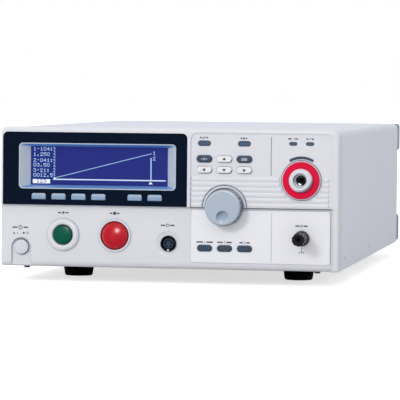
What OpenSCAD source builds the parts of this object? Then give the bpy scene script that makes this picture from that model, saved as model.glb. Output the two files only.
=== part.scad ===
// Bench high-voltage tester: bezel with display, keys and terminals on a folded sheet-steel case.
// Inside place(), x runs across the front, y is the depth behind the bezel rim, z starts at the case underside.

/* [Case] */
// Width across the front bezel
case_w = 330; // [318:1:360]
// Height of the case without its feet
case_h = 135; // [131:1:160]
// Depth from the bezel rim to the outer face of the rear panel
case_d = 540; // [480:5:640]
// Radius of the top corners seen from the front
corner_r = 6; // [4:0.5:10]
// Thickness of the sheet steel
sheet_t = 1.2; // [0.8:0.1:2]
// Gap between sheet parts that nest
sheet_gap = 0.3; // [0.1:0.1:0.6]
// Step from the bezel outline in to the cover
cover_inset = 0.8; // [0.8:0.1:2]
// Height of the folded flanges of the base
base_flange_h = 22; // [18:1:40]
// Height of a foot
foot_h = 15.2; // [10:0.1:25]
// Width of a foot at the case
foot_w = 32; // [22:0.2:40]
// Length of a foot at the case
foot_l = 32; // [22:1:50]
// Distance of the foot centres from the middle of the case
foot_x = 111.5; // [60:0.5:125]
// Draft of a foot on each side
foot_draft = 2; // [0.5:0.1:3]
// Distance from the bezel rim to the front face of the front feet
foot_front = 97; // [60:1:160]
// Length of the corner bumpers on the rear
bumper_d = 25; // [12:1:40]
// Width of a corner bumper
bumper_w = 24; // [18:1:32]
// Height of a corner bumper
bumper_h = 30; // [20:1:40]

/* [Bezel] */
// Wall thickness of the bezel
bezel_wall = 3.2; // [2.6:0.1:4]
// Radius of the rounded rim
rim_round = 3; // [1.5:0.1:3]
// Height of the seam where the upper face hangs over the lower face
seam_h = 60; // [58:0.5:63]
// Depth of the upper face behind the rim
upper_recess = 1.2; // [0.8:0.1:2]
// Depth of the lower face behind the rim
lower_recess = 5; // [4:0.1:7]
// Width of the rim on the right
rim_right = 5; // [3:0.1:7]
// Width of the slope inside the right rim
rim_slope = 3.2; // [1:0.1:5]
// Width of the rim on the left
rim_left = 2.3; // [1.5:0.1:3]
// Width of the slope inside the top rim
rim_slope_top = 1.2; // [0.5:0.1:2]
// Radius of the top corners of the upper face
face_r = 6.5; // [1:0.5:8]
// Height of the shadow groove under the seam
seam_gap = 0.9; // [0.5:0.1:1.5]
// Width of the rim along the top
rim_top = 4.7; // [4:0.1:5.5]
// Radius of the curved lower edge
bottom_round = 6; // [2:0.5:7]
// Number of ribs on the upper face
rib_count = 6; // [3:1:8]
// Height of the ribs above the upper face
rib_rise = 0.8; // [0.4:0.1:1.1]
// Space between the boards and the sub-panel
board_room = 2.4; // [1.5:0.1:6]

/* [Display] */
// Width of the navy display panel
panel_w = 181.2; // [178:0.1:183]
// Thickness of the display panel
panel_t = 2.2; // [1.5:0.1:2.4]
// Depth of the display panel's face behind the rim
panel_face = 0.8; // [0.3:0.1:1]
// Width of the display window at the front
window_w = 154.4; // [150:0.2:156]
// Height of the display window at the front
window_h = 44.4; // [42:0.2:46]
// Distance of the window centre from the left side of the case
window_x = 95.2; // [93:0.1:97]
// Distance of the window centre below the top of the case
window_drop = 37.4; // [36.5:0.1:38.5]
// Width of the visible screen
screen_w = 133.3; // [120:0.1:140]
// Height of the visible screen
screen_h = 36.9; // [30:0.1:39]
// Depth of the screen behind the face of the display panel
screen_depth = 9.4; // [7:0.1:11]
// Thickness of the display module behind its glass
module_t = 8; // [5:0.5:12]

/* [Keys] */
// Key travel
key_travel = 1.2; // [0.6:0.1:2]
// Gap round a key in its opening
key_gap = 0.25; // [0.15:0.05:0.4]
// Height of the keys above the panel
key_rise = 1.8; // [1:0.1:3]
// Width of a pill-shaped key
key_w = 14.8; // [13:0.1:16.5]
// Height of a pill-shaped key
key_h = 6.5; // [5.5:0.1:7.6]
// Horizontal pitch of the pill-shaped keys
key_pitch = 19.35; // [19.2:0.05:19.6]
// Distance of the first key column from the left edge of the upper face
key_x = 13; // [12:0.1:14]
// Distance of the upper key row below the top of the case
key_drop = 28.6; // [28:0.1:29]
// Vertical pitch of the two upper key rows
key_row = 10.35; // [10.1:0.05:11]
// Height of the mode key row above the underside
mode_z = 20.75; // [18:0.25:24]
// Width of a soft key
soft_w = 13.9; // [11:0.1:15.5]
// Height of a soft key
soft_h = 5.8; // [4.5:0.1:6.5]
// Pitch of the soft keys
soft_pitch = 19.6; // [19.3:0.05:20]
// Distance of the first soft key from the left side of the case
soft_x = 37.9; // [36:0.1:39]
// Distance of the fifth soft key from the left side of the case
soft_x5 = 132.3; // [130:0.1:134]
// Height of the soft keys above the seam
soft_rise = 8.2; // [8:0.1:8.6]

/* [Dial and buttons] */
// Diameter of the jog dial
dial_d = 34.6; // [30:0.2:38]
// Distance of the dial axis from the left edge of the upper face
dial_x = 32.8; // [30:0.2:35]
// Distance of the dial face in front of the rim
dial_reach = 10.2; // [7:0.2:14]
// Gap round the dial in its arch
dial_gap = 1.9; // [1:0.1:2.2]
// Width of the chamfer round the arch
arch_chamfer = 0.4; // [0.2:0.1:1]
// Width of the raised band round the arch
arch_band = 1.7; // [1:0.1:2.2]
// Width of the groove outside the band
arch_groove = 0.9; // [0.5:0.1:1.2]
// Height of the raised band above the upper face
arch_rise = 0.9; // [0.5:0.1:1.1]
// Diameter of the finger dimple
dimple_d = 12.6; // [8:0.2:13]
// Distance of the dimple below the dial axis
dimple_drop = 8.7; // [7:0.1:9.2]
// Diameter of the green start button
start_d = 17.8; // [14:0.2:20]
// Distance of the start button from the left side of the case
start_x = 61.5; // [57:0.5:67]
// Diameter of the red stop button
stop_d = 25.8; // [20:0.2:28]
// Distance of the stop button from the left side of the case
stop_x = 112.3; // [107:0.1:115]
// Rise of the stop button's dome
stop_dome = 7.5; // [4:0.1:9]
// Height of the start and stop buttons above the underside
button_z = 31.2; // [29:0.2:34]
// Gap round the stop and power buttons
button_gap = 0.9; // [0.3:0.1:1]
// Travel of the start and stop buttons
button_travel = 2.5; // [1:0.1:3.5]
// Diameter of the power button
power_d = 13.8; // [11:0.2:15]
// Distance of the power button from the left side of the case
power_in = 19.8; // [18:0.1:22]
// Height of the power button above the underside
power_z = 18.8; // [16:0.2:22]
// Travel of the power button
power_travel = 3; // [1.5:0.1:4]
// Width of the arched recess round the power button
power_recess_w = 19.7; // [19:0.1:22]
// Height of the top of the arched recess
power_recess_top = 28; // [27:0.2:34]

/* [Terminals] */
// Distance of the high-voltage terminal from the right side of the case
hv_x = 36.4; // [35:0.2:41]
// Distance of the high-voltage terminal below the top of the case
hv_drop = 48; // [46:0.5:49]
// Diameter of the red ring
hv_ring_d = 35.4; // [32:0.2:36]
// Diameter of the white insulator
hv_insulator_d = 22.6; // [20:0.2:26]
// Length of the insulator in front of its boss
hv_reach = 6.5; // [4:0.5:12]
// Diameter of the high-voltage socket bore
hv_bore_d = 4; // [2:0.1:4.4]
// Distance of the return post from the right side of the case
return_x = 35.8; // [31:0.2:45]
// Height of the return post above the underside
return_z = 31.7; // [26:0.2:36]
// Diameter of the return post's stud
stud_d = 6; // [5.4:0.1:7]
// Diameter of the plug bore in the stud
plug_d = 4; // [3:0.1:4.2]
// Diameter of the return post's nut
nut_d = 12.6; // [11.6:0.1:16]
// Length of the nut
nut_l = 20; // [16:0.5:26]
// Travel of the nut along its stud
nut_travel = 4; // [1:0.5:6]
// Distance of the remote socket from the left side of the case
remote_x = 164.8; // [161:0.1:167]
// Height of the remote socket above the underside
remote_z = 24.4; // [20:0.2:30]
// Diameter of the remote socket
remote_d = 15; // [13:0.2:16]

/* [Rear] */
// Size of the square fan
fan_size = 60; // [50:1:70]
// Thickness of the fan
fan_t = 25; // [20:1:32]
// Distance of the fan axis right of the middle of the case
fan_x = 84; // [70:1:95]
// Height of the fan axis above the underside
fan_z = 72; // [60:1:80]
// Distance of the mains inlet left of the middle of the case
inlet_x = 100; // [90:1:110]
// Height of the mains inlet above the underside
inlet_z = 52; // [50:1:80]
// Length of the pull of the fuse drawer
fuse_pull = 18; // [5:1:20]
// Diameter of the ground stud
ground_d = 4; // [3:0.5:6]

/* [Inside] */
// Outer diameter of the mains transformer
toroid_d = 112; // [90:2:120]
// Height of the mains transformer
toroid_h = 56; // [40:2:80]
// Width of the high-voltage transformer
hvt_w = 100; // [70:2:110]
// Length of the high-voltage transformer
hvt_l = 92; // [70:2:110]
// Height of the high-voltage transformer
hvt_h = 86; // [60:2:100]
// Length of the heat sink
sink_l = 150; // [100:5:170]
// Height of the heat sink
sink_h = 70; // [40:2:90]
// Number of fins of the heat sink
fin_count = 11; // [6:1:14]

/* [Hidden] */
$fn = 64;
over = 1;
fit = 0.1;
run = 0.05;

half_w = case_w / 2;
window_cx = window_x - half_w;
start_cx = start_x - half_w;
stop_cx = stop_x - half_w;
remote_cx = remote_x - half_w;
hv_cx = half_w - hv_x;
return_cx = half_w - return_x;
upper_back = upper_recess + bezel_wall;
lower_back = lower_recess + bezel_wall;
rim_in = half_w - rim_right;
top_in = case_h - rim_top;

// Stack of a key: seat, flange, stem, travel and switch in front of the key board
flange_t = 1;
flange_w = 1;
stem_min = 2;
switch_h = 4.5;
switch_w = 6;
board_t = 1.6;
stem_end = lower_back + run + flange_t + stem_min;
board_y = stem_end + key_travel + 0.3 + switch_h;

// Stack of the display behind its panel
panel_back = panel_face + panel_t;
panel_x = -half_w + rim_left;
panel_end = panel_x + panel_w;
window_z = case_h - window_drop;
glass_y = panel_face + screen_depth;
glass_t = 2;
glass_rim = 3.5;
lcd_board_y = glass_y + glass_t + module_t;
bezel_d = max(board_y, lcd_board_y) + board_t + board_room;
lcd_posts_x = [window_cx - window_w / 2 - 6, window_cx + window_w / 2 + 6];
lcd_posts_z = [window_z - window_h / 2 + 2.2, window_z + window_h / 2 + 4.4];
mullion = 3.5;
face_x = panel_end + mullion;
face_end = rim_in - rim_slope;
dial_cx = face_x + dial_x;

// Key places across the front
soft_names = ["soft_key_1", "soft_key_2", "soft_key_3", "soft_key_4", "soft_key_5", "soft_key_6"];
soft_xs = [for (i = [0:5]) (i < 4 ? soft_x + i * soft_pitch : soft_x5 + (i - 4) * soft_pitch) - half_w];
soft_z = seam_h + soft_rise;
soft_board_left = 18;
soft_board_right = 18.5;
key_xs = [for (i = [0:2]) face_x + key_x + i * key_pitch];
key_z1 = case_h - key_drop;
key_z2 = key_z1 - key_row;
upper_keys = [
  [key_xs[0], key_z1], [key_xs[2], key_z1], [key_xs[1], key_z1],
  [key_xs[1], key_z2], [key_xs[0], key_z2], [key_xs[2], key_z2]];
mode_keys = [for (x = key_xs) [x + 0.3, mode_z]];
mode_w = key_w * 0.96;
mode_h = key_h * 0.9;
light_z = case_h - 13.7;
lens_gap = 0.4;
lights = [[key_xs[0] - 0.1, light_z, 11.8, 4.5], [key_xs[2] - 0.2, light_z, 11.8, 4.5],
  [hv_cx - 8.1, light_z + 0.5, 7, 2.7], [hv_cx + 8, light_z + 0.5, 7, 2.7]];

// Dial, buttons and terminals
dial_z = seam_h - 0.1;
arch_r = dial_d / 2 + dial_gap;
shaft_r = 3;
bush_r = 3.8;
encoder_w = 13;
encoder_l = 6.5;
power_x = -half_w + power_in;
power_floor = lower_recess + 2.2;
power_pad = power_floor + 3;
cup_wall = 2;
cup_d = bezel_d - lower_back - 1;
hv_z = case_h - hv_drop;
hv_boss_r = hv_ring_d / 2 + 1;
hv_boss_y = -0.5;
hv_body_r = hv_insulator_d / 2 - 1.8;
hv_tail = bezel_d + 22;
hv_seat = hv_tail - 8;
overlay_t = 0.6;
overlay_y = lower_recess - overlay_t;
collar_l = 6;
collar_front = overlay_y - collar_l;
nut_back = collar_front - 0.3;
nut_front = nut_back - nut_l;
post_reach = -nut_front;
insert_r = stud_d / 2 + 1.4;
stud_front = nut_front + 1.5;
stud_end = bezel_d + sheet_t + 8;

// Sheet-metal shells
cover_x = half_w - cover_inset;
cover_z = case_h - cover_inset;
cover_r = corner_r;
base_x = cover_x - sheet_t - sheet_gap;
rear_t = 1.5;
shell_end = case_d - rear_t;
subpanel_top = cover_z - sheet_t - sheet_gap;
screw_ys = [56, case_d / 2, case_d - 60];
screw_z = 11.2;
bezel_screw_x = half_w - 22.5;
bezel_screw_y = bezel_d - 5;
bezel_screw_l = 7.4;
foot_ys = [foot_front, case_d - foot_front - foot_l];
bumper_xs = [-cover_x + bumper_w / 2, cover_x - bumper_w / 2];
bumper_zs = [bumper_h / 2 + 0.8, cover_z - bumper_h / 2 - 0.4];
overall_d = post_reach + case_d + bumper_d;
front_y = -overall_d / 2 + post_reach;

// Inside and rear
toroid_x = 77 - half_w;
toroid_y = case_d - 95;
hvt_x = half_w - 77;
hvt_y = bezel_d + 140;
sink_x = 65 - half_w;
sink_y = bezel_d + 70;
sink_w = 90;
fan_y = shell_end - fan_t;
fan_bore = fan_size / 2 - 2.6;
inlet_w = 28;
inlet_h = 48;
fuse_z = inlet_z - 15;
fan_hole = fan_size / 2 - 5;
port_places = [[-40, 98, 19, 9], [2, 98, 19, 9], [-40, 62, 12.4, 11.4]];
ground_x = -inlet_x + 44;
ground_z = 32;
board_z = 12;
board_y0 = case_d * 0.49;
board_l = 90;
board_edge = 6;
control_box = [[15 - half_w, board_y0], [-20, board_y0 + board_l]];
amp_box = [[12, board_y0], [half_w - 23, board_y0 + board_l]];
board_posts = [for (b = [control_box, amp_box], x = [b[0][0] + board_edge, b[1][0] - board_edge],
  y = [board_y0 + board_edge, board_y0 + board_l - board_edge]) [x, y]];
can_r = 8;
can_h = 24;
can_pitch = 30;
can_y = 30;
can_x = 18;
strip_in = 12;
strip_y = [56, 76];
strip_h = 12;
coil_in = 16;
coil_up = 14;
lug_l = 8;
lug_w = 7;
lug_t = 3;
inlet_flange = [8, 6];
inlet_l = 30;

// Colours
pale = [0.89, 0.89, 0.91];
face = [0.85, 0.85, 0.88];
slate = [0.24, 0.3, 0.38];
steel = [0.72, 0.73, 0.75];
black = [0.08, 0.08, 0.09];
board = [0.1, 0.32, 0.2];
brass = [0.8, 0.62, 0.3];

// Helpers

// Moves children from the front frame to the frame of the whole object
module place() {
  translate([0, front_y, foot_h]) children();
}

// Extrudes a front-view shape in depth from y0 to y1
module depth(y0, y1) {
  translate([0, y1, 0]) rotate([90, 0, 0]) linear_extrude(y1 - y0) children();
}

// Turns a half profile of [radius, depth] about the depth axis at x, z
module turn(x, z) {
  translate([x, 0, z]) rotate([-90, 0, 0]) rotate_extrude() children();
}

// Round bar along the depth axis at x, z
module bar(x, z, r, y0, y1) {
  translate([x, y0, z]) rotate([-90, 0, 0]) cylinder(r = r, h = y1 - y0);
}

// Box from one corner to the other
module span(a, b) {
  translate(a) cube([b[0] - a[0], b[1] - a[1], b[2] - a[2]]);
}

// Front-view outline on its bottom middle, with its own top and bottom corner radii
module outline(w, h, rt, rb) {
  translate([-w / 2, rb]) square([w, h - rt - rb]);
  translate([-w / 2 + rt, h - rt - over / 2]) square([w - 2 * rt, rt + over / 2]);
  for (s = [-1, 1]) translate([s * (w / 2 - rt), h - rt]) circle(rt);
  if (rb > 0) {
    translate([-w / 2 + rb, 0]) square([w - 2 * rb, rb + over / 2]);
    for (s = [-1, 1]) translate([s * (w / 2 - rb), rb]) circle(rb);
  }
}

// Rounded rectangle about its centre
module rounded(w, h, r) {
  translate([0, -h / 2]) outline(w, h, r, r);
}

// Pill outline about its centre
module pill(w, h) {
  square([w - h, h], center = true);
  for (s = [-1, 1]) translate([s * (w - h) / 2, 0]) circle(h / 2);
}

// Part of a disc that stands above a chord, as a half profile
module cap_profile(r, rise, y) {
  ball = (r * r + rise * rise) / (2 * rise);
  intersection() {
    translate([0, y + ball]) circle(ball, $fn = 128);
    translate([0, y - over]) square([r, rise + over]);
  }
}

// Bezel

// Block with a rounded front edge
module bezel_block() {
  depth(rim_round, bezel_d) outline(case_w, case_h, corner_r, 2);
  hull() {
    for (a = [0:22.5:90]) {
      inset = rim_round * (1 - cos(a));
      front = rim_round * (1 - sin(a));
      translate([0, 0, inset]) depth(front, rim_round + 0.01)
        outline(case_w - 2 * inset, case_h - 2 * inset, corner_r - inset * 0.8, max(2 - inset, 0.4), $fn = 32);
    }
  }
}

// Space in front of a sloped step of the face, from x0 to the right rim
module face_space(x0, recess, z0, z1) {
  translate([0, 0, z0]) linear_extrude(z1 - z0) polygon([
    [x0, -over], [rim_in + rim_slope * over / recess, -over],
    [face_end, recess], [x0, recess]]);
}

// Space in front of the upper face, sloped and rounded along the top and the sides
module upper_space() {
  w = face_end - face_x;
  h = top_in - seam_h + over;
  grow_left = 0.6;
  hull() {
    depth(upper_recess - 0.01, upper_recess) translate([face_x + w / 2, seam_h - over])
      outline(w, h, face_r, 0, $fn = 48);
    depth(-over, 0) translate([face_x + (w + rim_slope - grow_left) / 2, seam_h - over])
      outline(w + rim_slope + grow_left, h + rim_slope_top, face_r + 1.5, 0, $fn = 48);
  }
}

// Space under the curved lower edge
module lower_edge_space() {
  translate([-half_w - over, 0, 0]) rotate([90, 0, 90]) linear_extrude(half_w + over + face_end)
    difference() {
      translate([lower_recess - over, -over]) square([bottom_round + over, bottom_round + over]);
      translate([lower_recess + bottom_round, bottom_round]) circle(bottom_round);
      translate([lower_recess, bottom_round]) square([bottom_round + over, over]);
    }
}

// Rounded ribs across the upper face, stopped short of the arch and the boss
module ribs() {
  pitch = (key_z2 - key_h / 2 - 3 - seam_h) / rib_count;
  half = pitch / 2 - 0.25;
  ball = (half * half + rib_rise * rib_rise) / (2 * rib_rise);
  difference() {
    for (i = [0:rib_count - 1])
      translate([face_x + 0.6, 0, seam_h + (i + 0.5) * pitch]) rotate([90, 0, 90])
        linear_extrude(face_end - face_x - 2.6) intersection() {
          translate([upper_recess + ball - rib_rise, 0]) circle(ball);
          translate([upper_recess - rib_rise - over, -half]) square([rib_rise + over + 0.4, 2 * half]);
        }
    bar(dial_cx, dial_z, arch_r + arch_band + arch_groove + 0.6, -over - 2, upper_recess + over);
    bar(hv_cx, hv_z, hv_boss_r + 2.6, -over - 2, upper_recess + over);
  }
}

// Raised ring round a button or socket, from radius r0 to r1
module raised_ring(x, z, r0, r1, rise) {
  half = (r1 - r0) / 2;
  ball = (half * half + rise * rise) / (2 * rise);
  turn(x, z) intersection() {
    translate([(r0 + r1) / 2, lower_recess - rise + ball]) circle(ball);
    translate([r0, lower_recess - rise - over]) square([r1 - r0, rise + over + 0.5]);
  }
}

// Posts inside the bezel that carry the boards and meet the sub-panel
module posts() {
  for (x = [face_x + 3.5, face_end - 5]) {
    bar(x, 12, 2.8, lower_back - 0.5, board_y);
    bar(x, case_h - 7.5, 2.8, upper_back - 0.5, board_y);
  }
  for (x = [soft_xs[0] - 14, (soft_xs[3] + soft_xs[4]) / 2, soft_xs[5] + 14.5])
    bar(x, soft_z, 2.6, upper_back - 0.5, board_y);
  for (x = lcd_posts_x, z = lcd_posts_z) bar(x, z, 2.4, upper_back - 0.5, lcd_board_y);
  for (s = [-1, 1], z = [14, seam_h + 6, case_h - 11])
    bar(s * (half_w - bezel_wall - 2.2), z, 2.6, lower_back - 1, bezel_d);
}

// Everything solid on the bezel before its openings are cut
module bezel_solid() {
  difference() {
    bezel_block();
    upper_space();
    face_space(-half_w - over, lower_recess, -over, seam_h);
    span([face_x - 2, lower_recess - over, seam_h - seam_gap],
      [face_end, lower_recess + bezel_wall / 2, seam_h]);
    lower_edge_space();
    span([-half_w + bezel_wall, lower_back, bezel_wall], [half_w - bezel_wall, bezel_d + over, case_h - bezel_wall]);
    span([-half_w + bezel_wall, upper_back, seam_h + bezel_wall],
      [half_w - bezel_wall, lower_back + over, case_h - bezel_wall]);
  }
  ribs();
  // Wall behind the arch
  intersection() {
    bar(dial_cx, dial_z, arch_r + bezel_wall, upper_recess + 0.5, lower_back);
    span([dial_cx - 50, 0, seam_h], [dial_cx + 50, lower_back + over, case_h]);
  }
  // Raised band of the arch
  intersection() {
    bar(dial_cx, dial_z, arch_r + arch_band, upper_recess - arch_rise, upper_back);
    span([dial_cx - 50, -over, seam_h], [dial_cx + 50, upper_back + over, case_h]);
  }
  // Boss of the high-voltage terminal
  bar(hv_cx, hv_z, hv_boss_r, hv_boss_y, upper_back);
  raised_ring(start_cx, button_z, start_d / 2 + key_gap + 0.3, start_d / 2 + 6.6, 4);
  raised_ring(stop_cx, button_z, stop_d / 2 + button_gap + 0.1, stop_d / 2 + 2.9, 1.8);
  // Pad behind the power recess
  bar(power_x, power_z, power_recess_w / 2 + 1, lower_back - 0.5, power_pad);
  posts();
}

// Arched recess of the power button, open at the lower edge
module power_recess() {
  r = power_recess_w / 2;
  depth(lower_recess - over - 4, power_floor) {
    translate([power_x, power_recess_top - r]) circle(r);
    translate([power_x - r, -over]) square([power_recess_w, power_recess_top - r + over]);
  }
}

// Moulded front
module front_bezel() {
  color(pale) place() difference() {
    bezel_solid();
    // Seat of the display panel
    depth(-over, panel_back) translate([panel_x + panel_w / 2, seam_h - over])
      outline(panel_w, top_in - seam_h + over, 5, 0.5);
    depth(panel_back - over, upper_back + over) translate([window_cx, window_z])
      rounded(window_w, window_h, 4);
    // Arch of the dial
    bar(dial_cx, dial_z, arch_r, -over - 2, lower_recess);
    translate([dial_cx, upper_recess - arch_rise + arch_chamfer, dial_z]) rotate([90, 0, 0])
      cylinder(r1 = arch_r, r2 = arch_r + arch_chamfer * 2, h = arch_chamfer * 2);
    turn(dial_cx, dial_z) translate([arch_r + arch_band, upper_recess - over])
      square([arch_groove, over + arch_groove]);
    bar(dial_cx, dial_z, bush_r + fit, 0, lower_back + over);
    // Keys
    for (k = upper_keys) depth(-over, upper_back + over) translate(k)
      pill(key_w + 2 * key_gap, key_h + 2 * key_gap);
    for (k = mode_keys) depth(0, lower_back + over) translate(k)
      pill(mode_w + 2 * key_gap, mode_h + 2 * key_gap);
    for (x = soft_xs) depth(0, upper_back + over) translate([x, soft_z])
      outline_key(soft_w + 2 * key_gap, soft_h + 2 * key_gap);
    // Indicator lenses
    for (l = lights) depth(-over, upper_back + over) translate([l[0], l[1]])
      pill(l[2] + 2 * lens_gap, l[3] + 2 * lens_gap);
    warning_arc(-over, upper_back + over, fit);
    // Buttons
    bar(start_cx, button_z, start_d / 2 + key_gap, -5, lower_back + over);
    bar(stop_cx, button_z, stop_d / 2 + button_gap, 0, lower_back + over);
    power_recess();
    bar(power_x, power_z, power_d / 2 + button_gap, 0, power_pad + over);
    // Terminals and socket
    turn(hv_cx, hv_z) translate([hv_boss_r, upper_recess - over]) square([0.8, over + 0.9]);
    bar(hv_cx, hv_z, hv_body_r + fit, -over * 3, upper_back + over);
    bar(return_cx, return_z, stud_d / 2 + 2 + fit, 0, lower_back + over);
    turn(remote_cx, remote_z) polygon([[0, lower_recess - 1], [remote_d / 2 + 4.8, lower_recess - 1],
      [remote_d / 2 + 4.8, lower_recess], [remote_d / 2 + 3, lower_recess + 0.8], [0, lower_recess + 0.8]]);
    bar(remote_cx, remote_z, remote_d / 2 + fit, 0, lower_back + over);
    for (s = [-1, 1]) translate([s * bezel_screw_x, bezel_screw_y, -over]) cylinder(r = 1.7, h = bezel_wall + 2 * over);
  }
}

// Display

// Soft key outline about its centre: round above, squarer below
module outline_key(w, h) {
  translate([0, -h / 2]) outline(w, h, 2, 0.8);
}

// Navy panel with its window and key openings
module display_panel() {
  h = top_in - seam_h - fit;
  color([0.06, 0.11, 0.17]) place() difference() {
    depth(panel_face, panel_back) translate([panel_x + panel_w / 2, seam_h])
      outline(panel_w - 2 * fit, h, 4.8, 0.5);
    depth(panel_face - over, panel_back + over) translate([window_cx, window_z])
      rounded(window_w + 2 * fit, window_h + 2 * fit, 4);
    for (x = soft_xs) depth(panel_face - over, panel_back + over) translate([x, soft_z])
      outline_key(soft_w + 2 * key_gap, soft_h + 2 * key_gap);
  }
}

// Flared surround that leads in from the window to the screen
module display_surround() {
  color([0.7, 0.75, 0.8]) place() difference() {
    union() {
      depth(panel_face + 0.1, glass_y) translate([window_cx, window_z])
        rounded(window_w - 2 * fit, window_h - 2 * fit, 3.9);
      depth(upper_back, upper_back + 2) translate([window_cx, window_z])
        rounded(window_w + 4.5, window_h + 4.5, 4);
    }
    hull() {
      depth(panel_face - over, panel_face + 0.12) translate([window_cx, window_z])
        rounded(window_w - 2, window_h - 2, 3.4, $fn = 32);
      depth(glass_y - 0.01, glass_y + over) translate([window_cx, window_z])
        rounded(screen_w, screen_h, 0.6, $fn = 32);
    }
  }
}

// Screen glass against the back of the surround
module lcd_glass() {
  color([0.12, 0.14, 0.4]) place() depth(glass_y, glass_y + glass_t) translate([window_cx, window_z])
    rounded(screen_w + 2 * glass_rim, screen_h + 2 * glass_rim, 1);
}

// Back light and circuit board of the display
module lcd_module() {
  bx0 = lcd_posts_x[0] - 3.2;
  bx1 = lcd_posts_x[1] + 3.2;
  color([0.3, 0.33, 0.36]) place() union() {
    depth(glass_y + glass_t, lcd_board_y) translate([window_cx, window_z])
      rounded(screen_w + 2 * glass_rim, screen_h + 2 * glass_rim, 1);
    span([bx0, lcd_board_y, lcd_posts_z[0] - 3], [bx1, lcd_board_y + board_t, lcd_posts_z[1] + 2.6]);
  }
}

// Terminal panel and boards

// Pale panel on the lower face, with a groove beside the terminals
module terminal_panel() {
  w = face_end - face_x - 0.5;
  h = seam_h - 9.5;
  color([0.92, 0.92, 0.94]) place() difference() {
    depth(overlay_y, lower_recess) translate([face_x + w / 2, bottom_round + 0.9]) outline(w, h, 2.5, 2.5);
    for (k = mode_keys) depth(0, lower_recess + over) translate(k)
      pill(mode_w + 2 * key_gap, mode_h + 2 * key_gap);
    bar(return_cx, return_z, stud_d / 2 + 2 + fit, 0, lower_recess + over);
    bar(dial_cx, dial_z, bush_r + fit, 0, lower_recess + over);
    span([(dial_cx + hv_cx) / 2 + 8, overlay_y - over, bottom_round + 2.4],
      [(dial_cx + hv_cx) / 2 + 8.6, overlay_y + 0.3, seam_h - 4.8]);
  }
}

// Steel plate behind the bezel, folded to the base below, with tabs for the bezel screws
module front_subpanel() {
  y1 = bezel_d + sheet_t;
  color(steel) place() difference() {
    union() {
      span([-base_x, bezel_d, sheet_t], [base_x, y1, subpanel_top]);
      span([-base_x + 8, bezel_d, sheet_t], [base_x - 8, bezel_d + 14, 2 * sheet_t]);
      for (s = [-1, 1]) translate([s * bezel_screw_x, 0, 0])
        span([-6, bezel_screw_y - 6, bezel_wall], [6, y1, bezel_wall + sheet_t]);
    }
    bar(hv_cx, hv_z, hv_body_r + 0.6, bezel_d - over, y1 + over);
    bar(return_cx, return_z, stud_d / 2 + 4, bezel_d - over, y1 + over);
    bar(remote_cx, remote_z, 7, bezel_d - over, y1 + over);
    bar(power_x, power_z, 4.4, bezel_d - over, y1 + over);
    for (s = [-1, 1]) translate([s * bezel_screw_x, bezel_screw_y, 0]) cylinder(r = 1.6, h = 20);
    // Space under the top corners of the cover
    for (s = [-1, 1]) translate([s * base_x, bezel_d + sheet_t / 2, subpanel_top])
      rotate([0, 45, 0]) cube([corner_r, 2 * sheet_t, corner_r], center = true);
  }
}

// Board behind the right half of the front, cleared round the terminals
module key_board() {
  color(board) place() difference() {
    span([face_x + 1.5, board_y, 8], [face_end - 0.8, board_y + board_t, case_h - 6]);
    bar(hv_cx, hv_z, hv_body_r + 2, board_y - over, board_y + board_t + over);
    bar(return_cx, return_z, stud_d / 2 + 5, board_y - over, board_y + board_t + over);
  }
}

// Narrow board behind the soft keys
module soft_key_board() {
  color(board) place()
    span([soft_xs[0] - soft_board_left, board_y, soft_z - 4.4],
      [soft_xs[5] + soft_board_right, board_y + board_t, soft_z + 4.4]);
}

// One small switch under every key
module tact_switches() {
  color(black) place() {
    for (k = concat(upper_keys, mode_keys, [for (x = soft_xs) [x, soft_z]])) translate([k[0], 0, k[1]]) {
      span([-switch_w / 2, board_y - 3.5, -switch_w / 2], [switch_w / 2, board_y, switch_w / 2]);
      bar(0, 0, 1.7, board_y - switch_h, board_y - 3.4);
    }
  }
}

// Indicators

// Pass, fail, ready and test lenses with a flange behind the panel
module indicator_lenses() {
  color([0.75, 0.78, 0.82]) place() for (l = lights) translate([l[0], 0, l[1]]) union() {
    depth(upper_recess - 0.4, upper_back) pill(l[2], l[3]);
    depth(upper_back, upper_back + 1.2) pill(l[2] + 1.6, l[3] + 1.6);
  }
}

// Arc above the high-voltage terminal, grown by g on each side
module warning_arc(y0, y1, g) {
  r0 = hv_boss_r + 1.9 - g;
  r1 = hv_boss_r + 4.1 + g;
  translate([hv_cx, y1, hv_z]) rotate([90, 0, 0]) rotate([0, 0, 59 - g])
    rotate_extrude(angle = 62 + 2 * g) translate([r0, 0]) square([r1 - r0, y1 - y0]);
}

// Curved warning lens
module hv_warning_lens() {
  color(slate) place() warning_arc(upper_recess - 0.4, upper_back + 1, 0);
}

// Keys and buttons

// Pill key: rounded cap, flange behind the panel and a stem to its switch
module pill_key(k, w, h, y_face, y_back) {
  top = y_face - key_rise;
  translate([k[0], 0, k[1]]) {
    hull() {
      depth(top, top + 0.1) pill(w - 1.6, h - 1.6, $fn = 32);
      depth(top + 0.25, top + 0.3) pill(w - 0.7, h - 0.7, $fn = 32);
      depth(top + 0.8, y_back + run + 0.1) pill(w, h, $fn = 32);
    }
    depth(y_back + run, y_back + run + flange_t) pill(w + 2 * flange_w, h + 2 * flange_w);
    bar(0, 0, 2, y_back + run + flange_t - 0.1, stem_end);
  }
}

// One key of the upper group
module upper_key(i, tint) {
  color(tint) place() union() pill_key(upper_keys[i], key_w, key_h, upper_recess, upper_back);
}

// One key of the row under the dial
module mode_key(i) {
  color(slate) place() union()
    pill_key(mode_keys[i], mode_w, mode_h, overlay_y, lower_back);
}

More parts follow.
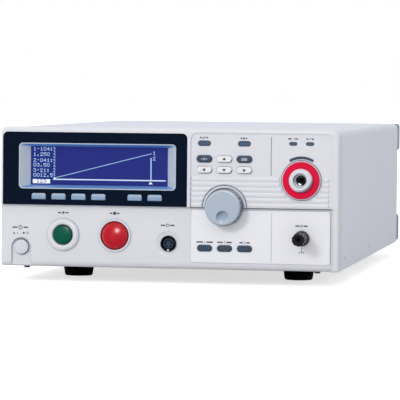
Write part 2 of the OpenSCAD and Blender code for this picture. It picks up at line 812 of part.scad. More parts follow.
// One soft key under the display
module soft_key(i) {
  top = panel_face - key_rise * 0.6;
  color([0.55, 0.62, 0.7]) place() translate([soft_xs[i], 0, soft_z]) union() {
    hull() {
      depth(top, top + 0.1) outline_key(soft_w - 1.4, soft_h - 1.4, $fn = 32);
      depth(top + 0.7, upper_back + run + 0.1) outline_key(soft_w, soft_h, $fn = 32);
    }
    depth(upper_back + run, upper_back + run + flange_t) rounded(soft_w + 2 * flange_w, soft_h + flange_w, 1.5);
    bar(0, 0, 2, upper_back + run + flange_t - 0.1, stem_end);
  }
}

// Push button that is turned about its axis: crowned cap, flange and stem
module push_button(x, z, r, edge, rise) {
  seat = lower_back + run;
  stem = lower_back + cup_d - cup_wall - button_travel - 0.6;
  turn(x, z) {
    cap_profile(r, rise, edge - rise);
    translate([0, edge - 0.1]) square([r, seat - edge + 0.2]);
    translate([0, seat]) square([r + 1.3, 1.5]);
    translate([0, seat + 1.4]) square([4, stem - seat - 1.4]);
  }
}

// Green start button
module start_button() {
  color([0.02, 0.33, 0.25]) place() push_button(start_cx, button_z, start_d / 2, 1.2, 1.8);
}

// Red stop button with a high dome
module stop_button() {
  color([0.75, 0.1, 0.16]) place() push_button(stop_cx, button_z, stop_d / 2, 4, stop_dome);
}

// Switch housings behind the start and stop buttons
module push_switches() {
  color(black) place() for (b = [[start_cx, start_d / 2], [stop_cx, stop_d / 2]])
    turn(b[0], button_z) difference() {
      square([b[1] + 1.9 + cup_wall, lower_back + cup_d]);
      square([b[1] + 1.9, lower_back + cup_d - cup_wall]);
      square([b[1] + 10, lower_back]);
    }
}

// Power button with its push rod
module power_button() {
  seat = power_pad + run;
  color([0.72, 0.76, 0.82]) place() turn(power_x, power_z) {
    cap_profile(power_d / 2, 0.9, lower_recess - 2.6);
    translate([0, lower_recess - 1.8]) square([power_d / 2, seat - lower_recess + 1.9]);
    translate([0, seat]) square([power_d / 2 + 1.2, 1.3]);
    translate([0, seat + 1.2]) square([3, bezel_d + sheet_t + 9 - seat - 1.2]);
  }
}

// Latching mains switch on the back of the sub-panel
module mains_switch() {
  y0 = bezel_d + sheet_t;
  color([0.2, 0.2, 0.22]) place() difference() {
    span([power_x - 9, y0, power_z - 9], [power_x + 9, y0 + 30, power_z + 11]);
    bar(power_x, power_z, 3.4, y0 - over, y0 + 9 + power_travel + 1.5);
  }
}

// Dial

// Jog dial with fluted side and a finger dimple
module jog_dial() {
  r = dial_d / 2;
  back = overlay_y - 0.8;
  ball = (dimple_d * dimple_d / 4 + 4) / 4;
  color([0.67, 0.72, 0.78]) place() difference() {
    turn(dial_cx, dial_z) difference() {
      polygon([[0, -dial_reach], [r - 1.6, -dial_reach], [r - 0.5, -dial_reach + 0.5],
        [r, -dial_reach + 1.6], [r, back], [0, back]]);
      translate([0, back - 5]) square([shaft_r + run, 5 + over]);
    }
    for (i = [0:23]) translate([dial_cx, 0, dial_z]) rotate([0, i * 15, 0])
      translate([r + 1.1, -dial_reach + 2.4, 0]) rotate([-90, 0, 0]) cylinder(r = 1.6, h = dial_reach + 6);
    translate([dial_cx, -dial_reach - ball + 2, dial_z - dimple_drop]) sphere(ball, $fn = 96);
  }
}

// Shaft between the dial and the encoder
module encoder_shaft() {
  back = overlay_y - 0.8;
  color(steel) place() bar(dial_cx, dial_z, shaft_r, back - 5, board_y - 1.5);
}

// Encoder body on the key board, with the bush of its shaft
module encoder_body() {
  color([0.4, 0.42, 0.45]) place() difference() {
    union() {
      span([dial_cx - encoder_w / 2, board_y - encoder_l, dial_z - encoder_w / 2],
        [dial_cx + encoder_w / 2, board_y, dial_z + encoder_w / 2]);
      bar(dial_cx, dial_z, bush_r, overlay_y + 0.2, board_y - encoder_l + 0.5);
    }
    bar(dial_cx, dial_z, shaft_r + run, 0, board_y - 1.2);
  }
}

// Terminals

// Red ring on the boss
module hv_ring() {
  color([0.84, 0.13, 0.28]) place() turn(hv_cx, hv_z) polygon([
    [hv_insulator_d / 2 + fit, hv_boss_y], [hv_insulator_d / 2 + fit, hv_boss_y - 1.4],
    [hv_ring_d / 2 - 0.6, hv_boss_y - 1.4], [hv_ring_d / 2, hv_boss_y - 0.8], [hv_ring_d / 2, hv_boss_y]]);
}

// White insulator with a stepped well, through to the inside of the case
module hv_insulator() {
  r = hv_insulator_d / 2;
  tip = hv_boss_y - hv_reach;
  color([0.93, 0.93, 0.95]) place() turn(hv_cx, hv_z) polygon([
    [r, hv_boss_y], [r, tip + 3], [r - 0.7, tip + 1.2], [r - 2.2, tip], [r - 4.2, tip],
    [r - 4.8, hv_boss_y - 0.5], [r - 6.2, hv_boss_y - 0.5], [r - 6.2, hv_seat],
    [2.2, hv_seat], [2.2, hv_tail], [hv_body_r, hv_tail], [hv_body_r, hv_boss_y]]);
}

// Metal socket inside the insulator
module hv_contact() {
  inner = hv_bore_d / 2;
  color(brass) place() turn(hv_cx, hv_z) polygon([
    [inner, hv_boss_y + 7], [inner, hv_boss_y + 24], [0, hv_boss_y + 24], [0, hv_tail + 8],
    [2, hv_tail + 8], [2, hv_seat], [hv_insulator_d / 2 - 6.4, hv_seat],
    [hv_insulator_d / 2 - 6.4, hv_seat - 3], [inner + 1.2, hv_seat - 3], [inner + 1.2, hv_boss_y + 7]]);
}

// Insulating collar of the return post, with a sleeve through the panel
module return_collar() {
  r0 = stud_d / 2 + run;
  color(black) place() turn(return_cx, return_z) polygon([
    [r0, collar_front], [6.2, collar_front], [7.2, collar_front + 1], [7.2, overlay_y],
    [stud_d / 2 + 2, overlay_y], [stud_d / 2 + 2, lower_back], [r0, lower_back]]);
}

// Threaded stud with its plug bore, cross hole and clamping nut
module return_stud() {
  color(brass) place() difference() {
    union() {
      bar(return_cx, return_z, stud_d / 2, stud_front, stud_end);
      translate([return_cx, lower_back, return_z]) rotate([-90, 0, 0]) cylinder(r = stud_d / 2 + 2.6, h = 4, $fn = 6);
    }
    bar(return_cx, return_z, plug_d / 2, stud_front - over, stud_front + 14);
  }
}

// Brass insert that carries the nut along the stud
module nut_insert() {
  color(brass) place() difference() {
    bar(return_cx, return_z, insert_r, nut_front + 3.2, nut_back - 0.5);
    bar(return_cx, return_z, stud_d / 2 + run, nut_front, nut_back + over);
  }
}

// Lobed nut of the return post
module return_nut() {
  color(black) place() difference() {
    turn(return_cx, return_z) polygon([
      [stud_d / 2 + 0.3, nut_front], [nut_d / 2 - 0.8, nut_front], [nut_d / 2, nut_front + 0.8],
      [nut_d / 2, nut_back - 0.6], [nut_d / 2 - 0.6, nut_back], [insert_r + run, nut_back],
      [insert_r + run, nut_front + 3], [stud_d / 2 + 0.3, nut_front + 3]]);
    for (i = [0:9]) translate([return_cx, nut_front - over, return_z]) rotate([0, i * 36, 0])
      translate([nut_d / 2 + 0.9, 0, 0]) rotate([-90, 0, 0]) cylinder(r = 1.5, h = nut_l * 0.55 + over);
  }
}

// Round remote socket with contact holes and a key
module remote_socket() {
  r = remote_d / 2;
  floor_y = lower_recess + 6.5;
  color(black) place() difference() {
    union() {
      bar(remote_cx, remote_z, r, lower_recess - 1, bezel_d - 1);
      bar(remote_cx, remote_z, r + 2.5, lower_back, lower_back + 2);
    }
    difference() {
      bar(remote_cx, remote_z, r - 0.9, lower_recess - 2, floor_y);
      translate([remote_cx, 0, remote_z - r + 1.2]) span([-1.1, 0, -1.5], [1.1, floor_y + over, 0.9]);
    }
    for (a = [0:45:180]) translate([remote_cx, floor_y - over, remote_z]) rotate([0, -a, 0])
      translate([3.5, 0, 0]) rotate([-90, 0, 0]) cylinder(r = 0.8, h = 5);
  }
}

// Case

// Folded cover: top and both sides
module top_cover() {
  color(pale) place() difference() {
    depth(bezel_d, shell_end) difference() {
      outline(2 * cover_x, cover_z, cover_r, 0);
      translate([0, -over]) outline(2 * (cover_x - sheet_t), cover_z - sheet_t + over, cover_r - sheet_t, 0);
    }
    for (s = [-1, 1], y = screw_ys) translate([s * cover_x, y, screw_z]) rotate([0, 90, 0])
      cylinder(r = 1.7, h = 6, center = true);
  }
}

// Base pan with side flanges, vent slots and board standoffs
module chassis_base() {
  color(steel) place() difference() {
    union() {
      span([-base_x, bezel_d, 0], [base_x, shell_end, sheet_t]);
      for (s = [0, 1]) mirror([s, 0, 0])
        span([base_x - sheet_t, bezel_d + sheet_t, 0], [base_x, shell_end, base_flange_h]);
      for (p = board_posts) translate([p[0], p[1], sheet_t - 0.2]) cylinder(r = 3, h = board_z - sheet_t + 0.2);
    }
    for (s = [-1, 1], y = screw_ys) translate([s * base_x, y, screw_z]) rotate([0, 90, 0])
      cylinder(r = 1.7, h = 8, center = true);
    for (s = [-1, 1], y = foot_ys) translate([s * foot_x, y + foot_l / 2, -over]) cylinder(r = 1.7, h = 4);
    for (i = [0:7], s = [-1, 1]) translate([s * 40, board_y0 + 14 + i * 9, -over])
      linear_extrude(sheet_t + 2 * over) pill(44, 4);
  }
}

// Flat rear panel with its cut-outs
module rear_panel() {
  color(pale) place() difference() {
    depth(shell_end, case_d) outline(2 * cover_x, cover_z, cover_r, 0.6);
    bar(fan_x, fan_z, fan_bore, shell_end - over, case_d + over);
    for (x = [-1, 1], z = [-1, 1]) bar(fan_x + x * fan_hole, fan_z + z * fan_hole, 1.8, shell_end - over, case_d + over);
    depth(shell_end - over, case_d + over) translate([-inlet_x, inlet_z]) rounded(inlet_w + 0.4, inlet_h + 0.4, 1);
    for (p = port_places) depth(shell_end - over, case_d + over) translate([p[0], p[1]])
      rounded(p[2] + 0.4, p[3] + 0.4, 1);
    bar(ground_x, ground_z, ground_d / 2 + fit, shell_end - over, case_d + over);
    for (x = bumper_xs, z = bumper_zs) bar(x, z, 1.8, shell_end - over, case_d + over);
  }
}

// Four round tapered feet with a screw well
module feet() {
  r0 = foot_w / 2;
  r1 = r0 - foot_draft;
  color(black) place() for (s = [-1, 1], y = foot_ys) translate([s * foot_x, y + foot_l / 2, 0]) difference() {
    scale([1, foot_l / foot_w, 1]) rotate_extrude()
      polygon([[0, 0], [r0, 0], [r1, -foot_h + 1.2], [r1 - 1.2, -foot_h], [0, -foot_h]]);
    translate([0, 0, -foot_h - over]) cylinder(r = 4.5, h = foot_h - 4 + over);
    translate([0, 0, -foot_h]) cylinder(r = 1.7, h = foot_h + over);
  }
}

// Corner bumpers on the rear panel
module rear_bumpers() {
  color([0.6, 0.64, 0.7]) place() for (x = bumper_xs, z = bumper_zs) difference() {
    hull() {
      depth(case_d, case_d + bumper_d - 3) translate([x, z]) rounded(bumper_w, bumper_h, 3, $fn = 32);
      depth(case_d, case_d + bumper_d) translate([x, z]) rounded(bumper_w - 4, bumper_h - 4, 2.5, $fn = 32);
    }
    bar(x, z, 5, case_d + 5, case_d + bumper_d + over);
    bar(x, z, 1.8, case_d - over, case_d + 6);
  }
}

// Pan-head screws of the cover, bezel, bumpers, feet and fan guard
module case_screws() {
  color(steel) place() {
    for (s = [0, 1], y = screw_ys) mirror([s, 0, 0]) translate([cover_x, y, screw_z]) rotate([0, 90, 0]) {
      cylinder(r = 2.8, h = 0.8);
      translate([0, 0, -7]) cylinder(r = 1.5, h = 7.1);
    }
    for (s = [-1, 1]) translate([s * bezel_screw_x, bezel_screw_y, 0]) {
      translate([0, 0, -2.2]) cylinder(r = 3, h = 2.2);
      translate([0, 0, -0.1]) cylinder(r = 1.5, h = bezel_screw_l);
    }
    for (x = bumper_xs, z = bumper_zs) {
      bar(x, z, 3.2, case_d + 5, case_d + 7.4);
      bar(x, z, 1.5, case_d - 6, case_d + 5.1);
    }
    for (s = [-1, 1], y = foot_ys) translate([s * foot_x, y + foot_l / 2, 0]) {
      translate([0, 0, -6.4]) cylinder(r = 3.4, h = 2.4);
      translate([0, 0, -4.1]) cylinder(r = 1.5, h = 4.1 + sheet_t);
    }
  }
}

// Rear

// Fan frame with its hub and struts
module fan_frame() {
  color(black) place() {
    difference() {
      union() {
        difference() {
          depth(fan_y, shell_end) translate([fan_x, fan_z]) rounded(fan_size, fan_size, 3);
          bar(fan_x, fan_z, fan_bore, fan_y - over, shell_end + over);
        }
        bar(fan_x, fan_z, fan_bore * 0.42, fan_y, fan_y + 3);
        for (a = [30, 150, 270]) translate([fan_x, fan_y, fan_z]) rotate([0, a, 0])
          span([fan_bore * 0.3, 0, -1.6], [fan_bore + 1, 3, 1.6]);
        bar(fan_x, fan_z, 1.5, fan_y, shell_end - 6.5);
      }
      for (x = [-1, 1], z = [-1, 1])
        bar(fan_x + x * fan_hole, fan_z + z * fan_hole, 1.8, fan_y - over, shell_end + over);
    }
  }
}

// Fan rotor with seven pitched blades
module fan_rotor() {
  y0 = fan_y + 4;
  y1 = shell_end - 4;
  color([0.15, 0.15, 0.17]) place() difference() {
    union() {
      bar(fan_x, fan_z, fan_bore * 0.44, y0, y1);
      intersection() {
        for (i = [0:6]) translate([fan_x, (y0 + y1) / 2, fan_z]) rotate([0, i * 360 / 7, 0]) rotate([38, 0, 0])
          span([fan_bore * 0.3, -(y1 - y0) * 0.55, -0.7], [fan_bore, (y1 - y0) * 0.55, 0.7]);
        bar(fan_x, fan_z, fan_bore - 1, y0 + 0.5, y1 - 0.5);
      }
    }
    bar(fan_x, fan_z, 1.5 + run, y0 - over, y1 - 2);
  }
}

// Wire guard over the fan
module fan_guard() {
  wire = 0.9;
  yg = case_d + wire + 0.05;
  color(steel) place() union() {
    for (k = [0.3, 0.58, 0.86]) turn(fan_x, fan_z) translate([fan_bore * k, yg + 1.3]) circle(wire, $fn = 24);
    for (a = [45, 135]) translate([fan_x, yg, fan_z]) rotate([0, a, 0])
      rotate([0, 90, 0]) cylinder(r = wire, h = 2 * fan_hole * sqrt(2) - 2, center = true);
    for (x = [-1, 1], z = [-1, 1]) bar(fan_x + x * fan_hole, fan_z + z * fan_hole, 3.2, case_d, case_d + 2.4);
  }
}

// Mains inlet with its blades and the slot of the fuse drawer
module mains_inlet() {
  color(black) place() difference() {
    union() {
      depth(case_d, case_d + 2.5) translate([-inlet_x, inlet_z])
        rounded(inlet_w + inlet_flange[0], inlet_h + inlet_flange[1], 2);
      depth(case_d - inlet_l, case_d + 0.5) translate([-inlet_x, inlet_z]) rounded(inlet_w, inlet_h, 1);
    }
    difference() {
      depth(case_d - 15, case_d + 2.5 + over) translate([-inlet_x, inlet_z + 9]) rounded(24, 16.5, 3);
      for (p = [[-7, 7.4], [0, 11.4], [7, 7.4]]) translate([-inlet_x + p[0], 0, inlet_z + p[1]])
        span([-1, case_d - 16, -2], [1, case_d - 3, 2]);
    }
    depth(case_d - 25, case_d + 2.5 + over) translate([-inlet_x, fuse_z]) square([22 + 2 * fit, 11 + 2 * fit], center = true);
  }
}

// Fuse drawer that pulls out of the inlet
module fuse_drawer() {
  color([0.16, 0.16, 0.18]) place() difference() {
    union() {
      depth(case_d - 24.5, case_d + 2.5) translate([-inlet_x, fuse_z]) square([22, 11], center = true);
      depth(case_d + 2.6, case_d + 4) translate([-inlet_x, fuse_z]) rounded(25, 13.5, 1.5);
      depth(case_d + 2.4, case_d + 2.7) translate([-inlet_x, fuse_z]) square([22, 11], center = true);
    }
    // Finger groove and fuse trough
    span([-inlet_x - 6, case_d + 3.2, fuse_z - 1], [-inlet_x + 6, case_d + 5, fuse_z + 1]);
    span([-inlet_x - 8, case_d - 22, fuse_z - 2.8], [-inlet_x + 8, case_d - 2, fuse_z + 6]);
  }
}

// Two serial-type ports with screw posts, and a square data port
module rear_ports() {
  color([0.6, 0.6, 0.62]) place() for (i = [0:2]) {
    p = port_places[i];
    translate([p[0], 0, p[1]]) difference() {
      union() {
        depth(case_d - 12, case_d + (i < 2 ? 6 : 1.2)) rounded(p[2], p[3], 1);
        depth(case_d, case_d + 1) rounded(p[2] + (i < 2 ? 12 : 3), p[3] + 3.5, 1);
        for (s = [-1, 1]) if (i < 2) translate([s * 12.5, case_d + 0.5, 0]) rotate([-90, 0, 0])
          cylinder(r = 2.6, h = 5, $fn = 6);
      }
      difference() {
        depth(case_d - 8, case_d + 6 + over) rounded(p[2] - 1.4, p[3] - 1.4, 0.8);
        depth(case_d - 9, case_d + (i < 2 ? 5 : 0.4)) rounded(p[2] * (i < 2 ? 0.84 : 0.46), p[3] * (i < 2 ? 0.62 : 0.3), 0.6);
      }
    }
  }
}

// Ground stud with washer and nut
module ground_terminal() {
  color(brass) place() union() {
    bar(ground_x, ground_z, ground_d / 2, shell_end - 8, case_d + 16);
    bar(ground_x, ground_z, ground_d / 2 + 3, case_d, case_d + 1);
    translate([ground_x, case_d + 0.9, ground_z]) rotate([-90, 0, 0]) cylinder(r = ground_d / 2 + 2.2, h = 3.3, $fn = 6);
    translate([ground_x, shell_end - 3.2, ground_z]) rotate([-90, 0, 0]) cylinder(r = ground_d / 2 + 2.2, h = 3.2, $fn = 6);
  }
}

// Inside

// Ring-core mains transformer with its clamping plate and bolt
module mains_transformer() {
  r = toroid_d / 2;
  color([0.7, 0.55, 0.2]) place() translate([toroid_x, toroid_y, sheet_t]) union() {
    rotate_extrude() difference() {
      square([r, toroid_h]);
      translate([r - 5, toroid_h - 5]) difference() {
        square([6, 6]);
        circle(5);
      }
      square([17, toroid_h]);
    }
    translate([0, 0, toroid_h - 0.5]) cylinder(r = 30, h = 2.5);
    cylinder(r = 5, h = toroid_h + 6);
  }
}

// High-voltage transformer: laminated core with a moulded winding
module hv_transformer() {
  color([0.35, 0.36, 0.4]) place() translate([hvt_x, hvt_y, sheet_t]) union() {
    span([-hvt_w / 2, -hvt_l / 4, 0], [hvt_w / 2, hvt_l / 4, hvt_h]);
    span([-hvt_w / 2 + coil_in, -hvt_l / 2, coil_up], [hvt_w / 2 - coil_in, hvt_l / 2, hvt_h - coil_up]);
    for (s = [-1, 1], t = [-1, 1]) span([s * hvt_w / 2 - (s > 0 ? 0.1 : lug_l), t * hvt_l / 4 - lug_w, 0],
      [s * hvt_w / 2 + (s > 0 ? lug_l : 0.1), t * hvt_l / 4 + lug_w, lug_t]);
  }
}

// Finned heat sink of the output amplifier
module heat_sink() {
  gap = (sink_w - 3) / (fin_count - 1);
  color([0.66, 0.67, 0.69]) place() translate([sink_x - sink_w / 2, sink_y, sheet_t]) union() {
    cube([sink_w, sink_l, 6]);
    for (i = [0:fin_count - 1]) translate([i * gap, 0, 5.5]) cube([3, sink_l, sink_h - 5.5]);
  }
}

// Control and amplifier boards with their tallest parts
module circuit_boards() {
  color(board) place() for (b = [control_box, amp_box]) union() {
    span([b[0][0], b[0][1], board_z], [b[1][0], b[1][1], board_z + board_t]);
    for (i = [0:3]) translate([b[0][0] + can_x + i * can_pitch, b[0][1] + can_y, board_z + 1])
      cylinder(r = can_r, h = can_h);
    span([b[0][0] + strip_in, b[0][1] + strip_y[0], board_z + 1],
      [b[1][0] - strip_in, b[0][1] + strip_y[1], board_z + strip_h]);
  }
}

front_bezel();
display_panel();
display_surround();
lcd_glass();
lcd_module();
terminal_panel();
front_subpanel();
key_board();
soft_key_board();
tact_switches();
indicator_lenses();
hv_warning_lens();
encoder_body();
encoder_shaft();
jog_dial();
hv_ring();
hv_insulator();
hv_contact();
return_collar();
return_stud();
nut_insert();
return_nut();
remote_socket();
push_switches();
mains_switch();
start_button();
stop_button();
power_button();
soft_key(0);  // soft_key_1
soft_key(1);  // soft_key_2
soft_key(2);  // soft_key_3
soft_key(3);  // soft_key_4
soft_key(4);  // soft_key_5
soft_key(5);  // soft_key_6
upper_key(0, slate);  // escape_key
upper_key(1, slate);  // page_key
upper_key(2, pale);  // up_key
upper_key(3, pale);  // down_key
upper_key(4, pale);  // left_key
upper_key(5, pale);  // right_key
mode_key(0);  // mode_key_1
mode_key(1);  // mode_key_2
mode_key(2);  // mode_key_3
top_cover();
chassis_base();
rear_panel();
feet();
rear_bumpers();
case_screws();
fan_frame();
fan_rotor();
fan_guard();
mains_inlet();
fuse_drawer();
rear_ports();
ground_terminal();
mains_transformer();
hv_transformer();
heat_sink();
circuit_boards();
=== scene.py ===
"""Looks of a bench high-voltage tester: finishes, printed marks, screen picture and fasteners."""

import logging
import math
from collections.abc import Callable
from dataclasses import dataclass
from enum import Enum

import bmesh
import bpy
from mathutils import Matrix, Vector


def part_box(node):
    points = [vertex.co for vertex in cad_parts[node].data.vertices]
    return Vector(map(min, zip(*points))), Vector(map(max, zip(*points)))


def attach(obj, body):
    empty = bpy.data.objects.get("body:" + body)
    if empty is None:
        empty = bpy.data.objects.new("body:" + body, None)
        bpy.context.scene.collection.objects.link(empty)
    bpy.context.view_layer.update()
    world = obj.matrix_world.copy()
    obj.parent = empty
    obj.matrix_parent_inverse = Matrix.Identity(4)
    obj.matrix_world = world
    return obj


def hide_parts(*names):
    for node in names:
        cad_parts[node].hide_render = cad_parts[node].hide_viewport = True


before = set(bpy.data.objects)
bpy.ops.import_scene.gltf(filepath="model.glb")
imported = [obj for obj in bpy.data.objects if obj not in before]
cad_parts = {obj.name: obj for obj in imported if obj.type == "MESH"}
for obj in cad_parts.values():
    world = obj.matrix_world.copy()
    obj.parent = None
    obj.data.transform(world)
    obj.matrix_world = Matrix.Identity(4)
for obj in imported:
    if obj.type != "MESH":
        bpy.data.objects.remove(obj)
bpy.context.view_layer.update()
MM = 0.001
LOG = logging.getLogger("tester")

Colour = tuple[float, float, float, float]
Pair = tuple[float, float]
Way = tuple[float, float, float]
Dot = tuple[int, int]
Piece = bpy.types.Object
Node = bpy.types.Node
Socket = bpy.types.NodeSocket
Tree = bpy.types.NodeTree

WHITE: Colour = (1.0, 1.0, 1.0, 1.0)
FONT_SHARE = 0.69  # height of a figure over the size of its font
BAND_SCALE = 0.314  # scale of a wave node whose bands are one unit wide
EDGE_SAMPLES = 4  # rays that round an edge
HOOP_CORNERS = 36  # corners of a printed ring
LEVEL = 1e-6  # difference in metres below which two points are level

# Origin of the front: middle of the width, plane of the bezel rim, underside of the case
PANEL_FACE_MM = 0.8
FRONT = Vector((0.0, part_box("display_panel")[0].y - PANEL_FACE_MM * MM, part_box("chassis_base")[0].z))


class Face(Enum):
    """Flat faces of the front that carry marks, as depths behind the rim in millimetres."""

    UPPER = 1.2
    PLATE = 4.4
    LOWER = 5.0
    SCREEN = 10.2


class LampUse(Enum):
    """What a lamp acts on: matt shading or glints in gloss."""

    SHADING = "shading"
    GLINTS = "glints"


class Heading(Enum):
    """Directions of an arrow mark, as the turn from pointing up in degrees."""

    UP = 0.0
    LEFT = 90.0
    DOWN = 180.0
    RIGHT = 270.0


# Figures of the screen as six lines of five dots
GLYPH_W = 5
GLYPHS: dict[str, tuple[int, ...]] = {
    "0": (14, 17, 17, 17, 17, 14), "1": (4, 12, 4, 4, 4, 14), "2": (14, 17, 2, 4, 8, 31),
    "3": (30, 1, 6, 1, 17, 14), "4": (2, 6, 10, 31, 2, 2), "5": (31, 16, 30, 1, 17, 14),
    "-": (0, 0, 14, 0, 0, 0), ".": (0, 0, 0, 0, 12, 12), ":": (0, 12, 12, 0, 12, 12)}


def linear(code: str) -> Colour:
    """Turn an sRGB hex colour into linear light.

    Args:
        code: Colour as "#rrggbb".

    Returns:
        Red, green, blue and alpha in linear light.
    """
    parts = [int(code[i:i + 2], 16) / 255 for i in (1, 3, 5)]
    red, green, blue = (v / 12.92 if v <= 0.04045 else ((v + 0.055) / 1.055) ** 2.4 for v in parts)
    return red, green, blue, 1.0


def toned(code: str, share: float, blue_share: float | None = None) -> Colour:
    """Turn an sRGB hex colour into linear light and make it darker or lighter.

    Args:
        code: Colour as "#rrggbb".
        share: Factor on the light.
        blue_share: Factor on blue, if it differs.

    Returns:
        The toned colour in linear light.
    """
    red, green, blue, alpha = linear(code)
    return red * share, green * share, blue * (blue_share or share), alpha


def at(x: float, y: float, z: float) -> Vector:
    """Turn millimetres on the front into a point of the row frame.

    Args:
        x: Distance right of the middle.
        y: Depth behind the rim.
        z: Height above the underside of the case.

    Returns:
        The point in metres.
    """
    return FRONT + Vector((x, y, z)) * MM


def facing(turn: float = 0.0) -> Way:
    """Return the rotation that stands a shape up to face the front, turned anticlockwise by degrees."""
    return math.radians(90), math.radians(-turn), 0.0


# Finishes


@dataclass
class Recipe:
    """Nodes of a material or of the sky, the shader they feed and the coordinates that patterns read."""

    tree: Tree
    shader: Node
    coords: Socket | None = None

    def add(self, kind: str, output: str | int, inputs: dict | None = None) -> Socket:
        """Add a node with its settings and links.

        Args:
            kind: Blender's name of the node type, without its prefix.
            output: Name or number of the output that is wanted.
            inputs: Values by property name, and values or sockets by the name or number of an input.

        Returns:
            The wanted output of the new node.
        """
        node = self.tree.nodes.new("ShaderNode" + kind)
        self.connect(node, inputs or {})
        return node.outputs[output]

    def connect(self, node: Node, inputs: dict) -> None:
        """Set and link what goes into a node.

        Args:
            node: Node of this recipe.
            inputs: Values by property name, and values or sockets by the name or number of an input.
        """
        for key, value in inputs.items():
            if isinstance(value, Socket):
                self.tree.links.new(value, node.inputs[key])
            elif isinstance(key, str) and hasattr(node, key):
                setattr(node, key, value)
            else:
                node.inputs[key].default_value = value

    def feed(self, inputs: dict) -> None:
        """Set and link what goes into the shader."""
        self.connect(self.shader, inputs)

    def colour(self) -> Socket:
        """Return what feeds the shader's colour so far."""
        return self.shader.inputs["Base Color"].links[0].from_socket


@dataclass(frozen=True)
class Finish:
    """A surface finish, built once and shared by its pieces."""

    name: str
    colour: str

    def lay(self, recipe: Recipe) -> None:
        """Lay the finish's nodes in front of the shader."""
        raise NotImplementedError

    def material(self) -> bpy.types.Material:
        """Make the finish's material on first use.

        Returns:
            The material.
        """
        found = bpy.data.materials.get(self.name)
        if found:
            return found
        material = bpy.data.materials.new(self.name)
        material.use_nodes = True
        recipe = Recipe(material.node_tree, material.node_tree.nodes["Principled BSDF"])
        recipe.coords = recipe.add("TexCoord", "Object")
        self.lay(recipe)
        return material

    def dress(self, *pieces: Piece) -> None:
        """Give every slot of the pieces this finish.

        Args:
            pieces: Pieces to dress.
        """
        for piece in pieces:
            if not piece.material_slots:
                piece.data.materials.append(None)
            for slot in piece.material_slots:
                slot.material = self.material()

    def dress_nodes(self, *names: str) -> None:
        """Give CAD nodes this finish by their names."""
        self.dress(*[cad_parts[name] for name in names])
        LOG.info("%s on %s", self.name, ", ".join(names))


@dataclass(frozen=True)
class MouldedPlastic(Finish):
    """Moulded plastic: a soft sheen broken by the mould's spark-eroded grain, edges a little rounded, and
    painted shade in crevices where crevice_mm is set.
    """

    shade: str = ""
    roughness: float = 0.45
    grain_mm: float = 0.7
    grain_depth_mm: float = 0.012
    specular: float = 0.5
    cloud_mm: float = 45.0
    edge_mm: float = 0.35
    # Painted shade: colour that ambient occlusion mixes into crevices, gaps and grooves
    crevice_shade: str = "#7D8AA3"
    crevice_mm: float = 0.0
    crevice_span: Pair = (0.85, 0.35)
    crevice_shade_most: float = 0.8
    rough_spread: float = 0.07
    grain_strength: float = 0.5

    def lay(self, recipe: Recipe) -> None:
        """Lay grain, faint flow clouding, rounded edges and painted shade in the crevices.

        Args:
            recipe: Nodes of the material.
        """
        grain = recipe.add("TexNoise", "Fac", {"Vector": recipe.coords, "Detail": 3.0,
                                               "Scale": 1 / (self.grain_mm * MM)})
        cloud = recipe.add("TexNoise", "Fac", {"Vector": recipe.coords, "Detail": 2.0,
                                               "Scale": 1 / (self.cloud_mm * MM)})
        tone = recipe.add("Mix", 2, {"data_type": "RGBA", 0: cloud, 6: linear(self.colour),
                                     7: linear(self.shade or self.colour)})
        # Painted shade: darker where ambient occlusion finds crevices, gaps and grooves
        if self.crevice_mm:
            clear = recipe.add("AmbientOcclusion", "AO", {"samples": 8, "Distance": self.crevice_mm * MM})
            start, end = self.crevice_span
            share = recipe.add("MapRange", "Result", {"Value": clear, "From Min": start, "From Max": end,
                                                      "To Max": self.crevice_shade_most})
            tone = recipe.add("Mix", 2, {"data_type": "RGBA", 0: share, 6: tone, 7: linear(self.crevice_shade)})
        smooth, dull = (self.roughness + side * self.rough_spread for side in (-1, 1))
        rough = recipe.add("MapRange", "Result", {"Value": grain, "To Min": smooth, "To Max": dull})
        edge = recipe.add("Bevel", "Normal", {"samples": EDGE_SAMPLES, "Radius": self.edge_mm * MM})
        bump = recipe.add("Bump", "Normal", {"Height": grain, "Normal": edge, "Strength": self.grain_strength,
                                             "Distance": self.grain_depth_mm * MM})
        recipe.feed({"Base Color": tone, "Roughness": rough, "Normal": bump,
                     "Specular IOR Level": self.specular})


@dataclass(frozen=True)
class PowderCoat(Finish):
    """Powder-coated steel: an even colour with the coat's shallow orange peel and a broad dull sheen."""

    roughness: float = 0.6
    rough_spread: float = 0.06
    peel_mm: float = 1.6
    peel_depth_mm: float = 0.02
    peel_strength: float = 0.4
    edge_mm: float = 0.6
    specular: float = 0.05
    drift_mm: float = 160.0
    drift_tones: Pair = (0.985, 1.01)

    def lay(self, recipe: Recipe) -> None:
        """Lay the orange peel over a colour that drifts a little over the sheet.

        Args:
            recipe: Nodes of the material.
        """
        peel = recipe.add("TexNoise", "Fac", {"Vector": recipe.coords, "Detail": 1.5,
                                              "Scale": 1 / (self.peel_mm * MM)})
        drift = recipe.add("TexNoise", "Fac", {"Vector": recipe.coords, "Detail": 1.0,
                                               "Scale": 1 / (self.drift_mm * MM)})
        dark, pale = self.drift_tones
        tone = recipe.add("Mix", 2, {"data_type": "RGBA", 0: drift, 6: toned(self.colour, dark),
                                     7: toned(self.colour, pale)})
        smooth, dull = (self.roughness + side * self.rough_spread for side in (-1, 1))
        rough = recipe.add("MapRange", "Result", {"Value": peel, "To Min": smooth, "To Max": dull})
        edge = recipe.add("Bevel", "Normal", {"samples": EDGE_SAMPLES, "Radius": self.edge_mm * MM})
        bump = recipe.add("Bump", "Normal", {"Height": peel, "Normal": edge, "Strength": self.peel_strength,
                                             "Distance": self.peel_depth_mm * MM})
        recipe.feed({"Base Color": tone, "Roughness": rough, "Normal": bump,
                     "Specular IOR Level": self.specular})


